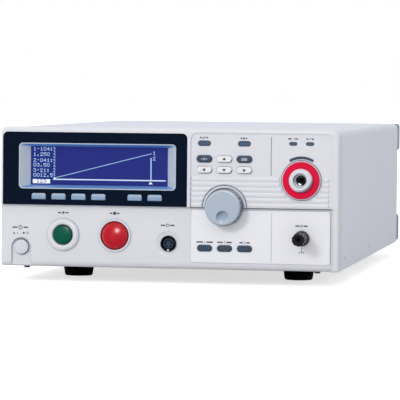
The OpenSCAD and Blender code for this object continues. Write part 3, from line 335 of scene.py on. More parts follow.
@dataclass(frozen=True)
class GlossPlastic(Finish):
    """Polished acrylic or a polished cap: deep colour under a clear gloss, with a faint haze of handling."""

    roughness: float = 0.18
    specular: float = 0.35
    haze_mm: float = 9.0
    haze_tones: Pair = (0.93, 1.06)
    haze_rough: Pair = (-0.05, 0.06)
    edge_mm: float = 0.3

    def lay(self, recipe: Recipe) -> None:
        """Lay a haze that varies the gloss and the depth of the colour.

        Args:
            recipe: Nodes of the material.
        """
        haze = recipe.add("TexNoise", "Fac", {"Vector": recipe.coords, "Detail": 4.0,
                                              "Scale": 1 / (self.haze_mm * MM)})
        dark, pale = self.haze_tones
        tone = recipe.add("Mix", 2, {"data_type": "RGBA", 0: haze, 6: toned(self.colour, dark),
                                     7: toned(self.colour, pale)})
        smooth, dull = self.haze_rough
        rough = recipe.add("MapRange", "Result", {"Value": haze, "To Min": self.roughness + smooth,
                                                  "To Max": self.roughness + dull})
        edge = recipe.add("Bevel", "Normal", {"samples": EDGE_SAMPLES, "Radius": self.edge_mm * MM})
        recipe.feed({"Base Color": tone, "Roughness": rough, "Normal": edge,
                     "Specular IOR Level": self.specular})


@dataclass(frozen=True)
class DialPlastic(MouldedPlastic):
    """Satin-moulded dial with painted shade on its lower rim and in the hollow of the finger dimple, and
    painted light on the slopes that face up and left.
    """

    # Painted shade on slopes that face down and right, painted light on slopes that face up and left
    painted_shade: str = "#55677C"
    painted_shade_lean: Pair = (-0.12, -0.6)
    painted_light: str = "#C9D2DC"
    painted_light_lean: Pair = (0.1, 0.6)
    painted_light_way: Way = (-0.6, 0.0, 0.8)
    painted_most: float = 0.9
    # Painted shade in the hollow of the finger dimple
    dimple_shade: str = "#9DADBF"
    dimple_drop_mm: float = 8.7
    dimple_r_mm: float = 6.3
    dimple_fade_mm: float = 0.2

    def lay(self, recipe: Recipe) -> None:
        """Lay the moulded grain, then painted shade in the dimple and on what leans down, and painted light
        on what leans up.

        Args:
            recipe: Nodes of the material.
        """
        super().lay(recipe)
        low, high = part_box("jog_dial")
        drop = self.dimple_drop_mm * MM
        centre = Vector(((low.x + high.x) / 2, low.y, (low.z + high.z) / 2 - drop))
        away = recipe.add("VectorMath", "Value", {"operation": "DISTANCE", 0: recipe.coords, 1: centre})
        outer, inner = (self.dimple_r_mm + side * self.dimple_fade_mm for side in (1, -1))
        inside = recipe.add("MapRange", "Result", {"Value": away, "From Min": outer * MM,
                                                   "From Max": inner * MM})
        # Painted shade: the dimple's hollow is darker
        tone = recipe.add("Mix", 2, {"data_type": "RGBA", 0: inside, 6: recipe.colour(),
                                     7: linear(self.dimple_shade)})
        # Painted shade and painted light by the way the surface leans against the upper-left light
        normal = recipe.add("NewGeometry", "Normal")
        lean = recipe.add("VectorMath", "Value", {"operation": "DOT_PRODUCT", 0: normal, 1: self.painted_light_way})
        for colour, (start, end) in ((self.painted_shade, self.painted_shade_lean), (self.painted_light, self.painted_light_lean)):
            share = recipe.add("MapRange", "Result", {"Value": lean, "From Min": start, "From Max": end,
                                                      "To Max": self.painted_most})
            tone = recipe.add("Mix", 2, {"data_type": "RGBA", 0: share, 6: tone, 7: linear(colour)})
        recipe.feed({"Base Color": tone})


@dataclass(frozen=True)
class LeanShadedPlastic(MouldedPlastic):
    """Moulded plastic with painted shade on the slopes that face down and to the right."""

    # Painted shade on slopes that face down and right
    painted_shade: str = "#3D5068"
    painted_shade_way: Way = (0.6, 0.0, -0.8)
    painted_shade_lean: Pair = (0.3, 0.7)
    painted_shade_most: float = 0.85

    def lay(self, recipe: Recipe) -> None:
        """Lay the moulded grain, then painted shade by the way the surface leans.

        Args:
            recipe: Nodes of the material.
        """
        super().lay(recipe)
        # Painted shade: darker where the surface leans down and right
        normal = recipe.add("NewGeometry", "Normal")
        lean = recipe.add("VectorMath", "Value", {"operation": "DOT_PRODUCT", 0: normal, 1: self.painted_shade_way})
        start, end = self.painted_shade_lean
        share = recipe.add("MapRange", "Result", {"Value": lean, "From Min": start, "From Max": end,
                                                  "To Max": self.painted_shade_most})
        tone = recipe.add("Mix", 2, {"data_type": "RGBA", 0: share, 6: recipe.colour(),
                                     7: linear(self.painted_shade)})
        recipe.feed({"Base Color": tone})


@dataclass(frozen=True)
class SoftKeyPlastic(MouldedPlastic):
    """Moulded key cap with painted light that pales its upper edge."""

    # Painted light along the upper edge of the cap
    painted_light: str = "#C6D6E6"
    painted_light_share: float = 0.5
    painted_light_most: float = 0.85

    def lay(self, recipe: Recipe) -> None:
        """Lay the moulded grain, then fade to the painted light towards the top of the cap.

        Args:
            recipe: Nodes of the material.
        """
        super().lay(recipe)
        low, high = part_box("soft_key_1")
        start = high.z - self.painted_light_share * (high.z - low.z)
        # Painted light: paler towards the top of the cap
        height = recipe.add("SeparateXYZ", "Z", {0: recipe.coords})
        fade = recipe.add("MapRange", "Result", {"Value": height, "From Min": start, "From Max": high.z,
                                                 "To Max": self.painted_light_most})
        tone = recipe.add("Mix", 2, {"data_type": "RGBA", 0: fade, 6: recipe.colour(),
                                     7: linear(self.painted_light)})
        recipe.feed({"Base Color": tone})


@dataclass(frozen=True)
class SurroundPlastic(Finish):
    """Glossy moulded surround with a painted reflection of the screen's blue glow on its upper and lower
    slopes.
    """

    # Painted reflection of the screen's glow, by the way each slope faces
    above: str = "#5A94DF"
    below: str = "#74A2DA"
    tilt: Pair = (0.4, 0.75)
    grain_mm: float = 0.8
    roughness: Pair = (0.28, 0.42)

    def lay(self, recipe: Recipe) -> None:
        """Lay the painted glow by the way each slope faces, with fine grain.

        Args:
            recipe: Nodes of the material.
        """
        # Painted reflection: bluer tones on the slopes that face down and up
        tilt = recipe.add("SeparateXYZ", "Z", {0: recipe.add("NewGeometry", "Normal")})
        start, end = self.tilt
        tone = linear(self.colour)
        for colour, side in ((self.below, 1), (self.above, -1)):
            share = recipe.add("MapRange", "Result", {"Value": tilt, "From Min": side * start,
                                                      "From Max": side * end})
            tone = recipe.add("Mix", 2, {"data_type": "RGBA", 0: share, 6: tone, 7: linear(colour)})
        grain = recipe.add("TexNoise", "Fac", {"Vector": recipe.coords, "Detail": 2.0,
                                               "Scale": 1 / (self.grain_mm * MM)})
        smooth, dull = self.roughness
        rough = recipe.add("MapRange", "Result", {"Value": grain, "To Min": smooth, "To Max": dull})
        recipe.feed({"Base Color": tone, "Roughness": rough})


@dataclass(frozen=True)
class LitScreen(Finish):
    """Back-lit negative LCD: an even deep blue glow behind glass, ruled by the dark gaps of its dot grid."""

    dot_mm: float = 0.55
    dot_tone: float = 1.04
    gap_share: float = 0.05
    gap_tones: Pair = (0.72, 0.8)
    glow: float = 0.42

    def lay(self, recipe: Recipe) -> None:
        """Lay the dot grid in the glow, with the front glass as a smooth dielectric.

        Args:
            recipe: Nodes of the material.
        """
        turned = recipe.add("Mapping", "Vector", {"Vector": recipe.coords, "Rotation": facing()})
        dot = self.dot_mm * MM
        tone = recipe.add("TexBrick", "Color", {
            "Vector": turned, "offset": 0.0, "squash": 1.0, "Scale": 1.0, "Brick Width": dot,
            "Row Height": dot, "Color1": linear(self.colour), "Color2": toned(self.colour, self.dot_tone),
            "Mortar": toned(self.colour, *self.gap_tones), "Mortar Size": self.gap_share * dot,
            "Mortar Smooth": 0.2})
        recipe.feed({"Base Color": tone, "Emission Color": tone, "Emission Strength": self.glow,
                     "Roughness": 0.16, "Specular IOR Level": 0.3})


@dataclass(frozen=True)
class LitDots(Finish):
    """Open LCD dots that let the back light through: a cool near-white glow that wavers a little."""

    glow: float = 0.9
    waver_mm: float = 3.0
    waver_tones: Pair = (0.85, 0.9)
    body_tone: float = 0.2

    def lay(self, recipe: Recipe) -> None:
        """Lay a glow that varies over a few dots.

        Args:
            recipe: Nodes of the material.
        """
        waver = recipe.add("TexNoise", "Fac", {"Vector": recipe.coords, "Detail": 1.0,
                                               "Scale": 1 / (self.waver_mm * MM)})
        tone = recipe.add("Mix", 2, {"data_type": "RGBA", 0: waver, 6: toned(self.colour, *self.waver_tones),
                                     7: linear(self.colour)})
        recipe.feed({"Base Color": toned(self.colour, self.body_tone), "Roughness": 0.4,
                     "Emission Color": tone, "Emission Strength": self.glow})


@dataclass(frozen=True)
class ScreenInk(Finish):
    """Silk-screened ink: a flat dense film whose edge and cover vary with the mesh of the screen."""

    mesh_mm: float = 0.4
    tones: Pair = (0.85, 1.15)
    roughness: Pair = (0.45, 0.65)

    def lay(self, recipe: Recipe) -> None:
        """Lay a slight unevenness of cover and sheen.

        Args:
            recipe: Nodes of the material.
        """
        cover = recipe.add("TexNoise", "Fac", {"Vector": recipe.coords, "Detail": 2.0,
                                               "Scale": 1 / (self.mesh_mm * MM)})
        dark, pale = self.tones
        tone = recipe.add("Mix", 2, {"data_type": "RGBA", 0: cover, 6: toned(self.colour, dark),
                                     7: toned(self.colour, pale)})
        smooth, dull = self.roughness
        rough = recipe.add("MapRange", "Result", {"Value": cover, "To Min": smooth, "To Max": dull})
        recipe.feed({"Base Color": tone, "Roughness": rough})


@dataclass(frozen=True)
class Metal(Finish):
    """Machined or plated metal: bright, with the fine lines of turning or drawing along one axis."""

    roughness: float = 0.28
    line_mm: float = 0.25
    axis: str = "Y"
    line_depth_mm: float = 0.01
    wear_mm: float = 6.0
    wear_tone: float = 0.88
    wear_rough: Pair = (-0.08, 0.12)

    def lay(self, recipe: Recipe) -> None:
        """Lay tool lines across the axis and a cloudy wear in the gloss.

        Args:
            recipe: Nodes of the material.
        """
        lines = recipe.add("TexWave", "Fac", {
            "Vector": recipe.coords, "wave_type": "BANDS", "bands_direction": self.axis, "Distortion": 1.5,
            "Detail": 2.0, "Scale": BAND_SCALE / (self.line_mm * MM)})
        wear = recipe.add("TexNoise", "Fac", {"Vector": recipe.coords, "Detail": 3.0,
                                              "Scale": 1 / (self.wear_mm * MM)})
        tone = recipe.add("Mix", 2, {"data_type": "RGBA", 0: wear, 6: toned(self.colour, self.wear_tone),
                                     7: linear(self.colour)})
        smooth, dull = self.wear_rough
        rough = recipe.add("MapRange", "Result", {"Value": wear, "To Min": self.roughness + smooth,
                                                  "To Max": self.roughness + dull})
        bump = recipe.add("Bump", "Normal", {"Height": lines, "Strength": 0.25,
                                             "Distance": self.line_depth_mm * MM})
        recipe.feed({"Metallic": 1.0, "Base Color": tone, "Roughness": rough, "Normal": bump})


@dataclass(frozen=True)
class ZincSheet(Finish):
    """Zinc-plated sheet steel: grey metal with the patchy spangle of the plating."""

    spangle_mm: float = 9.0
    spangle_tones: Pair = (0.8, 0.82)
    roughness: Pair = (0.3, 0.5)

    def lay(self, recipe: Recipe) -> None:
        """Lay spangle cells in the colour and the gloss.

        Args:
            recipe: Nodes of the material.
        """
        cells = recipe.add("TexVoronoi", "Color", {"Vector": recipe.coords,
                                                   "Scale": 1 / (self.spangle_mm * MM)})
        tone = recipe.add("Mix", 2, {"data_type": "RGBA", 0: cells, 7: linear(self.colour),
                                     6: toned(self.colour, *self.spangle_tones)})
        smooth, dull = self.roughness
        rough = recipe.add("MapRange", "Result", {"Value": cells, "To Min": smooth, "To Max": dull})
        recipe.feed({"Metallic": 1.0, "Base Color": tone, "Roughness": rough})


@dataclass(frozen=True)
class Rubber(Finish):
    """Moulded rubber: near black, dull, with a fine bloom that greys it in patches."""

    bloom_mm: float = 5.0
    bloom_tone: float = 1.6
    pit_mm: float = 0.6
    pit_depth_mm: float = 0.03
    edge_mm: float = 0.5

    def lay(self, recipe: Recipe) -> None:
        """Lay the bloom and a fine pitted surface.

        Args:
            recipe: Nodes of the material.
        """
        bloom = recipe.add("TexNoise", "Fac", {"Vector": recipe.coords, "Detail": 4.0,
                                               "Scale": 1 / (self.bloom_mm * MM)})
        pits = recipe.add("TexNoise", "Fac", {"Vector": recipe.coords, "Detail": 2.0,
                                              "Scale": 1 / (self.pit_mm * MM)})
        edge = recipe.add("Bevel", "Normal", {"samples": EDGE_SAMPLES, "Radius": self.edge_mm * MM})
        bump = recipe.add("Bump", "Normal", {"Height": pits, "Normal": edge, "Strength": 0.4,
                                             "Distance": self.pit_depth_mm * MM})
        tone = recipe.add("Mix", 2, {"data_type": "RGBA", 0: bloom, 6: linear(self.colour),
                                     7: toned(self.colour, self.bloom_tone)})
        recipe.feed({"Base Color": tone, "Normal": bump, "Roughness": 0.7, "Specular IOR Level": 0.3})


@dataclass(frozen=True)
class SolderMask(Finish):
    """Green solder mask over etched copper: paler lanes where the tracks lie under the lacquer."""

    track: str = "#2C7A4C"
    track_mm: float = 3.0
    track_w_mm: float = 0.4

    def lay(self, recipe: Recipe) -> None:
        """Lay lanes of track under a glossy lacquer.

        Args:
            recipe: Nodes of the material.
        """
        lanes = recipe.add("TexBrick", "Color", {
            "Vector": recipe.coords, "Color1": linear(self.colour), "Color2": linear(self.colour),
            "Mortar": linear(self.track), "Scale": 1.0, "Mortar Size": self.track_w_mm * MM,
            "Brick Width": 4 * self.track_mm * MM, "Row Height": self.track_mm * MM})
        recipe.feed({"Base Color": lanes, "Roughness": 0.3})


@dataclass(frozen=True)
class Layered(Finish):
    """Wound or stacked stuff: tape turns or core plates that show as thin stripes along one axis."""

    stripe: str = "#000000"
    pitch_mm: float = 2.0
    axis: str = "Z"
    metallic: float = 0.0
    step_mm: float = 0.1

    def lay(self, recipe: Recipe) -> None:
        """Lay stripes in the colour and as shallow steps.

        Args:
            recipe: Nodes of the material.
        """
        turns = recipe.add("TexWave", "Fac", {
            "Vector": recipe.coords, "wave_type": "BANDS", "bands_direction": self.axis,
            "wave_profile": "SAW", "Distortion": 0.6, "Scale": BAND_SCALE / (self.pitch_mm * MM)})
        tone = recipe.add("Mix", 2, {"data_type": "RGBA", 0: turns, 6: linear(self.stripe),
                                     7: linear(self.colour)})
        bump = recipe.add("Bump", "Normal", {"Height": turns, "Strength": 0.5, "Distance": self.step_mm * MM})
        recipe.feed({"Base Color": tone, "Normal": bump, "Metallic": self.metallic, "Roughness": 0.45})


class Stock:
    """Finishes of the tester, named for what each one is."""

    # Bezel and label plate carry painted shade in their crevices
    BEZEL = MouldedPlastic("ABS, grey-white, spark-grained", "#E6E6EA", "#E2E2E7", 0.5, crevice_mm=2.0)
    PLATE = MouldedPlastic("Polycarbonate label sheet, satin", "#F7F7F9", "#F5F5F8", 0.42,
                           grain_depth_mm=0.006, crevice_mm=2.0)
    COVER = PowderCoat("Powder coat, grey-white", "#E4E6EE")
    REAR = PowderCoat("Powder coat, warm grey", "#CFCFD4")
    NAVY = GlossPlastic("Acrylic, navy back-printed", "#0B182A", 0.2, 0.1)
    # Surround carries a painted reflection of the screen's glow
    SURROUND = SurroundPlastic("ABS, pale grey, glossy", "#C3CEDA")
    SCREEN = LitScreen("LCD, blue, back-lit", "#252C72")
    DOTS = LitDots("LCD dots, fully open", "#EEF6FF")
    TEXT_DOTS = LitDots("LCD dots, half open", "#B4DCFF", 0.75)
    # Soft keys carry painted light along their upper edge
    SOFT_KEY = SoftKeyPlastic("ABS, blue-grey key cap", "#93ACC9", "#8DA6C4", 0.4)
    SLATE_KEY = MouldedPlastic("Silicone rubber, slate key cap", "#364C64", "#31475F", 0.55)
    # Cursor keys carry painted shade on their slopes that face down and right
    WHITE_KEY = LeanShadedPlastic("Silicone rubber, white key cap", "#F0F0F3", "#ECECF0", 0.5)
    LENS = GlossPlastic("Acrylic, smoked lens", "#51647C", 0.25)
    # Dial carries painted shade and painted light by the way its faces lean
    DIAL = DialPlastic("ABS, blue-grey, satin dial", "#B6C2D0", "#B1BDCC", 0.42)
    GREEN = GlossPlastic("Acrylic cap, green", "#005C47", 0.32, 0.28)
    RED = GlossPlastic("Acrylic cap, red", "#CC0822", 0.3, 0.62)
    CRIMSON = MouldedPlastic("Nylon, crimson ring", "#E50E40", "#E00D3D", 0.6, specular=0.1)
    # Insulator carries painted shade on its slopes that face down and right
    INSULATOR = LeanShadedPlastic("Acetal, white, turned", "#E6E7EC", "#E1E2E8", 0.35)
    POWER = MouldedPlastic("ABS, pale button", "#DFDFE5", "#DADAE1", 0.4)
    BLACK = MouldedPlastic("Nylon, black, moulded", "#0E1116", "#13161C", 0.4)
    INSERT = MouldedPlastic("Nylon, blue-black insert", "#2B435D", "#263D57", 0.45)
    INK = ScreenInk("Screen ink, slate blue", "#2E4865")
    LINE_INK = ScreenInk("Screen ink, pale blue", "#8CA2BC")
    KEY_INK = ScreenInk("Key print, dark", "#1B232C")
    PALE_INK = ScreenInk("Key print, pale", "#C9D3DE")
    NICKEL = Metal("Brass, nickel-plated, turned", "#C6C3BA")
    DARK_NICKEL = Metal("Brass, black-nickel-plated", "#6A6C72", 0.24)
    BRASS = Metal("Brass, turned", "#C79A4B")
    SCREW = Metal("Steel, zinc-plated screw", "#B9BCC2", 0.34)
    WIRE = Metal("Steel wire, chromed", "#C9CBD0", 0.18, axis="X")
    SHAFT = Metal("Steel, ground shaft", "#B4B6BA", 0.25)
    ALUMINIUM = Metal("Aluminium, extruded", "#BFC2C6", 0.36, axis="X")
    ZINC = ZincSheet("Steel sheet, zinc-plated", "#B4B9BE")
    FOOT = Rubber("Rubber, black, moulded", "#070708")
    BUMPER = MouldedPlastic("Nylon, blue-grey, moulded", "#9AA5B8", "#929DB1", 0.5)
    BOARD = SolderMask("Circuit board, green mask", "#14512F")
    COIL = Layered("Polyester tape winding", "#B9832F", "#8A5E1E", 12.0, "X")
    CORE = Layered("Laminated core steel", "#5C6068", "#3C3F45", 1.0, "Y", 0.8)


# Modelling with Blender's operators


class Workshop:
    """Starts, shapes and finishes meshes with Blender's operators."""

    @staticmethod
    def clear() -> None:
        """Leave edit mode and select nothing."""
        active = bpy.context.view_layer.objects.active
        if active and active.mode != "OBJECT":
            bpy.ops.object.mode_set(mode="OBJECT")
        bpy.ops.object.select_all(action="DESELECT")

    @classmethod
    def pick(cls, piece: Piece) -> None:
        """Select one piece alone and make it active.

        Args:
            piece: Piece to select.
        """
        cls.clear()
        piece.select_set(True)
        bpy.context.view_layer.objects.active = piece

    @staticmethod
    def settle(name: str, scale: Way | None = None) -> Piece:
        """Name the active object, scale it if asked, and bake its place into its mesh.

        Args:
            name: Name of the piece.
            scale: Scale along its own axes, if any.

        Returns:
            The piece.
        """
        piece = bpy.context.view_layer.objects.active
        if scale:
            piece.scale = scale
        bpy.ops.object.transform_apply(location=True, rotation=True, scale=True)
        piece.name = piece.data.name = name
        return piece

    @staticmethod
    def choose(piece: Piece, kind: str, wanted: Callable[..., bool]) -> None:
        """Enter edit mode and select by a test.

        Args:
            piece: Active piece.
            kind: Which elements to go through, "edges" or "faces".
            wanted: Test that returns True for an element to select.
        """
        bpy.ops.object.mode_set(mode="EDIT")
        mesh = bmesh.from_edit_mesh(piece.data)
        for part in getattr(mesh, kind):
            part.select_set(wanted(part))
        bmesh.update_edit_mesh(piece.data)

    @classmethod
    def flat(cls, corners: int, radius: float, place: Vector, turn: float = 0.0) -> Piece:
        """Make a flat regular shape that faces the front.

        Args:
            corners: Number of corners, many for a disc.
            radius: Radius over the corners in metres.
            place: Centre in the row frame.
            turn: Turn in degrees, anticlockwise as seen.

        Returns:
            The flat piece, one corner up before its turn.
        """
        cls.clear()
        bpy.ops.mesh.primitive_circle_add(vertices=corners, radius=radius, fill_type="NGON",
                                          rotation=facing(turn), location=place)
        return cls.settle("flat")

    @classmethod
    def strip(cls, length: float, width: float, place: Vector, turn: float = 0.0) -> Piece:
        """Make a flat strip that faces the front.

        Args:
            length: Length in metres, across before the turn.
            width: Width in metres.
            place: Centre in the row frame.
            turn: Turn in degrees, anticlockwise as seen.

        Returns:
            The strip.
        """
        cls.clear()
        bpy.ops.mesh.primitive_plane_add(size=1.0, rotation=facing(turn), location=place)
        return cls.settle("strip", (length, width, 1.0))

    @classmethod
    def hoop(cls, radius: float, width: float, place: Vector, gap: float = 0.0) -> Piece:
        """Make a flat ring that faces the front, open at the top by a gap.

        Args:
            radius: Outer radius in metres.
            width: Width of the ring in metres.
            place: Centre in the row frame.
            gap: Opening at the top in degrees.

        Returns:
            The ring.
        """
        def spare(part: bmesh.types.BMFace) -> bool:
            """Return True for the middle and for what lies in the gap."""
            away = part.calc_center_median() - place
            return len(part.verts) > 4 or math.degrees(math.atan2(abs(away.x), away.z)) < gap / 2

        piece = cls.flat(HOOP_CORNERS, radius, place)
        bpy.ops.object.mode_set(mode="EDIT")
        bpy.ops.mesh.select_all(action="SELECT")
        bpy.ops.mesh.inset(thickness=width, depth=0.0)
        cls.choose(piece, "faces", spare)
        bpy.ops.mesh.delete(type="FACE")
        bpy.ops.object.mode_set(mode="OBJECT")
        return piece

    @classmethod
    def words(cls, body: str, height: float, place: Vector) -> Piece:
        """Make flat figures that face the front.

        Args:
            body: The figures.
            height: Height in metres.
            place: Centre in the row frame.

        Returns:
            The flat figures.
        """
        cls.clear()
        bpy.ops.object.text_add(rotation=facing(), location=place)
        text = bpy.context.view_layer.objects.active
        text.data.body = body
        text.data.size = height / FONT_SHARE
        text.data.align_x = text.data.align_y = "CENTER"
        bpy.ops.object.convert(target="MESH")
        return cls.settle("words")

    @classmethod
    def apply(cls, piece: Piece) -> None:
        """Apply every modifier of a piece.

        Args:
            piece: Piece with modifiers.
        """
        cls.pick(piece)
        for modifier in list(piece.modifiers):
            bpy.ops.object.modifier_apply(modifier=modifier.name)

    @classmethod
    def cut(cls, piece: Piece, cutter: Piece) -> None:
        """Cut one piece out of another and throw the cutter away.

        Args:
            piece: Piece to cut.
            cutter: Piece that is taken out of it.
        """
        cut = piece.modifiers.new("cut", "BOOLEAN")
        cut.operation = "DIFFERENCE"
        cut.object = cutter
        cls.apply(piece)
        bpy.data.objects.remove(cutter)

    @classmethod
    def join(cls, name: str, pieces: list[Piece]) -> Piece:
        """Join pieces into the first one and name it.

        Args:
            name: Name of the joined piece.
            pieces: Pieces to join.

        Returns:
            The joined piece.
        """
        cls.clear()
        for piece in pieces:
            piece.select_set(True)
        bpy.context.view_layer.objects.active = pieces[0]
        bpy.ops.object.join()
        pieces[0].name = pieces[0].data.name = name
        return pieces[0]

    @classmethod
    def film(cls, name: str, flats: list[Piece], thickness: float) -> Piece:
        """Join flat shapes and give them a thickness towards the front.

        Args:
            name: Name of the film.
            flats: Flat shapes on one face.
            thickness: Thickness in metres.

        Returns:
            The closed film.
        """
        piece = cls.join(name, flats)
        bpy.ops.object.mode_set(mode="EDIT")
        mesh = bmesh.from_edit_mesh(piece.data)
        for part in mesh.faces:
            part.select_set(True)
            if part.normal.y > 0:
                part.normal_flip()
        bmesh.update_edit_mesh(piece.data)
        bpy.ops.mesh.quads_convert_to_tris()
        bpy.ops.object.mode_set(mode="OBJECT")
        body = piece.modifiers.new("film", "SOLIDIFY")
        body.thickness = thickness
        body.offset = 1.0
        cls.apply(piece)
        return piece


@dataclass(frozen=True)
class Shape:
    """One flat shape of a printed symbol, off the symbol's middle by dx and dz. Sizes are in millimetres."""

    dx: float = 0.0
    dz: float = 0.0

    def place(self, middle: Vector) -> Vector:
        """Return where the shape lies when its symbol has this middle."""
        return middle + Vector((self.dx, 0.0, self.dz)) * MM

    def draw(self, middle: Vector) -> Piece:
        """Draw the shape for a symbol with this middle."""
        raise NotImplementedError


@dataclass(frozen=True)
class Stroke(Shape):
    """A straight stroke, turned anticlockwise by degrees."""

    length: float = 1.0
    turn: float = 0.0
    width: float = 0.75

    def draw(self, middle: Vector) -> Piece:
        """Draw the stroke."""
        return Workshop.strip(self.length * MM, self.width * MM, self.place(middle), self.turn)


@dataclass(frozen=True)
class Ring(Shape):
    """A ring, open at the top by a gap in degrees."""

    radius: float = 1.2
    width: float = 0.45
    gap: float = 0.0

    def draw(self, middle: Vector) -> Piece:
        """Draw the ring."""
        return Workshop.hoop(self.radius * MM, self.width * MM, self.place(middle), self.gap)


@dataclass(frozen=True)
class Patch(Shape):
    """A filled shape: a dot with many corners, or a triangle that points one way."""

    radius: float = 1.0
    corners: int = 24
    heading: Heading = Heading.UP

    def draw(self, middle: Vector) -> Piece:
        """Draw the filled shape."""
        return Workshop.flat(self.corners, self.radius * MM, self.place(middle), self.heading.value)


@dataclass(frozen=True)
class Figure(Shape):
    """A figure."""

    body: str = "1"
    height: float = 2.2

    def draw(self, middle: Vector) -> Piece:
        """Draw the figure."""
        return Workshop.words(self.body, self.height * MM, self.place(middle))


class Symbols:
    """Printed symbols, as the shapes that make them up."""

    START = (Patch(radius=1.9, corners=3, heading=Heading.RIGHT),)
    STOP = (Stroke(length=2.9, width=2.9),)
    POWER = (Ring(radius=2.1, width=0.65, gap=70.0), Stroke(dz=1.4, length=2.3, turn=90.0, width=0.65))
    ON = (Patch(dx=-1.6, dz=-0.3, radius=1.3, corners=3), Stroke(dx=1.8, length=1.8, turn=90.0, width=0.5))
    OFF = (Patch(dx=-1.7), Ring(dx=2.0))
    SOCKET = (Ring(radius=1.7, width=0.5),
              *(Patch(dx=dx, dz=dz, radius=0.3, corners=12)
                for dx, dz in ((0.75, 0.0), (0.0, 0.75), (-0.75, 0.0))))
    PASSED = (Stroke(dx=-0.95, dz=-0.35, length=1.5, turn=-45.0),
              Stroke(dx=0.55, dz=0.1, length=2.6, turn=50.0))
    FAILED = tuple(Stroke(length=2.7, turn=turn) for turn in (45.0, -45.0))
    POST = (Ring(),)
    GROUND = (Stroke(dz=2.4, length=4.2, turn=90.0, width=0.45), Stroke(dz=0.2, length=4.4, width=0.45),
              *(Stroke(dx=dx, dz=-0.75, length=1.9, turn=62.0, width=0.4) for dx in (-2.0, 0.0, 2.0)))
    ESCAPE = (*(Stroke(length=2.7, turn=turn, width=0.6) for turn in (45.0, -45.0)),
              *(Stroke(dx=dx, length=1.4, width=0.6) for dx in (-2.4, 2.4)))
    PAGE = tuple(Stroke(dz=dz, length=5.6, width=0.5) for dz in (-0.95, 0.0, 0.95))


@dataclass(frozen=True)
class Mark:
    """A symbol printed on the front, with a short rule on each side of it if it has a width."""

    x: float
    z: float
    shapes: tuple[Shape, ...]
    width: float = 0.0
    clear: float = 0.0
    rule_w: float = 1.25

    def draw(self, face: Face) -> list[Piece]:
        """Draw the symbol, then its rules, which keep the clear width between them.

        Args:
            face: Face that carries the mark.

        Returns:
            The flat shapes of the mark.
        """
        length = (self.width - self.clear) / 2
        away = (self.clear + length) / 2
        sides = (-1, 1) if self.width else ()
        rules = [Stroke(dx=side * away, length=length, width=self.rule_w) for side in sides]
        return [shape.draw(at(self.x, face.value, self.z)) for shape in (*self.shapes, *rules)]


def place_on(piece: Piece, body: str, finish: Finish) -> Piece:
    """Dress a new piece and let it ride on a body.

    Args:
        piece: Finished piece.
        body: CAD body that carries it.
        finish: Finish of the piece.

    Returns:
        The same piece.
    """
    finish.dress(piece)
    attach(piece, body)
    LOG.info("%s on %s: %d faces", piece.name, body, len(piece.data.polygons))
    return piece


# Sub-assemblies


@dataclass(frozen=True)
class Lamp:
    """A square soft box: place and aim in metres, side, power in watts and what it acts on."""

    name: str
    place: Vector
    aim: Vector
    size: float
    watts: float
    use: LampUse


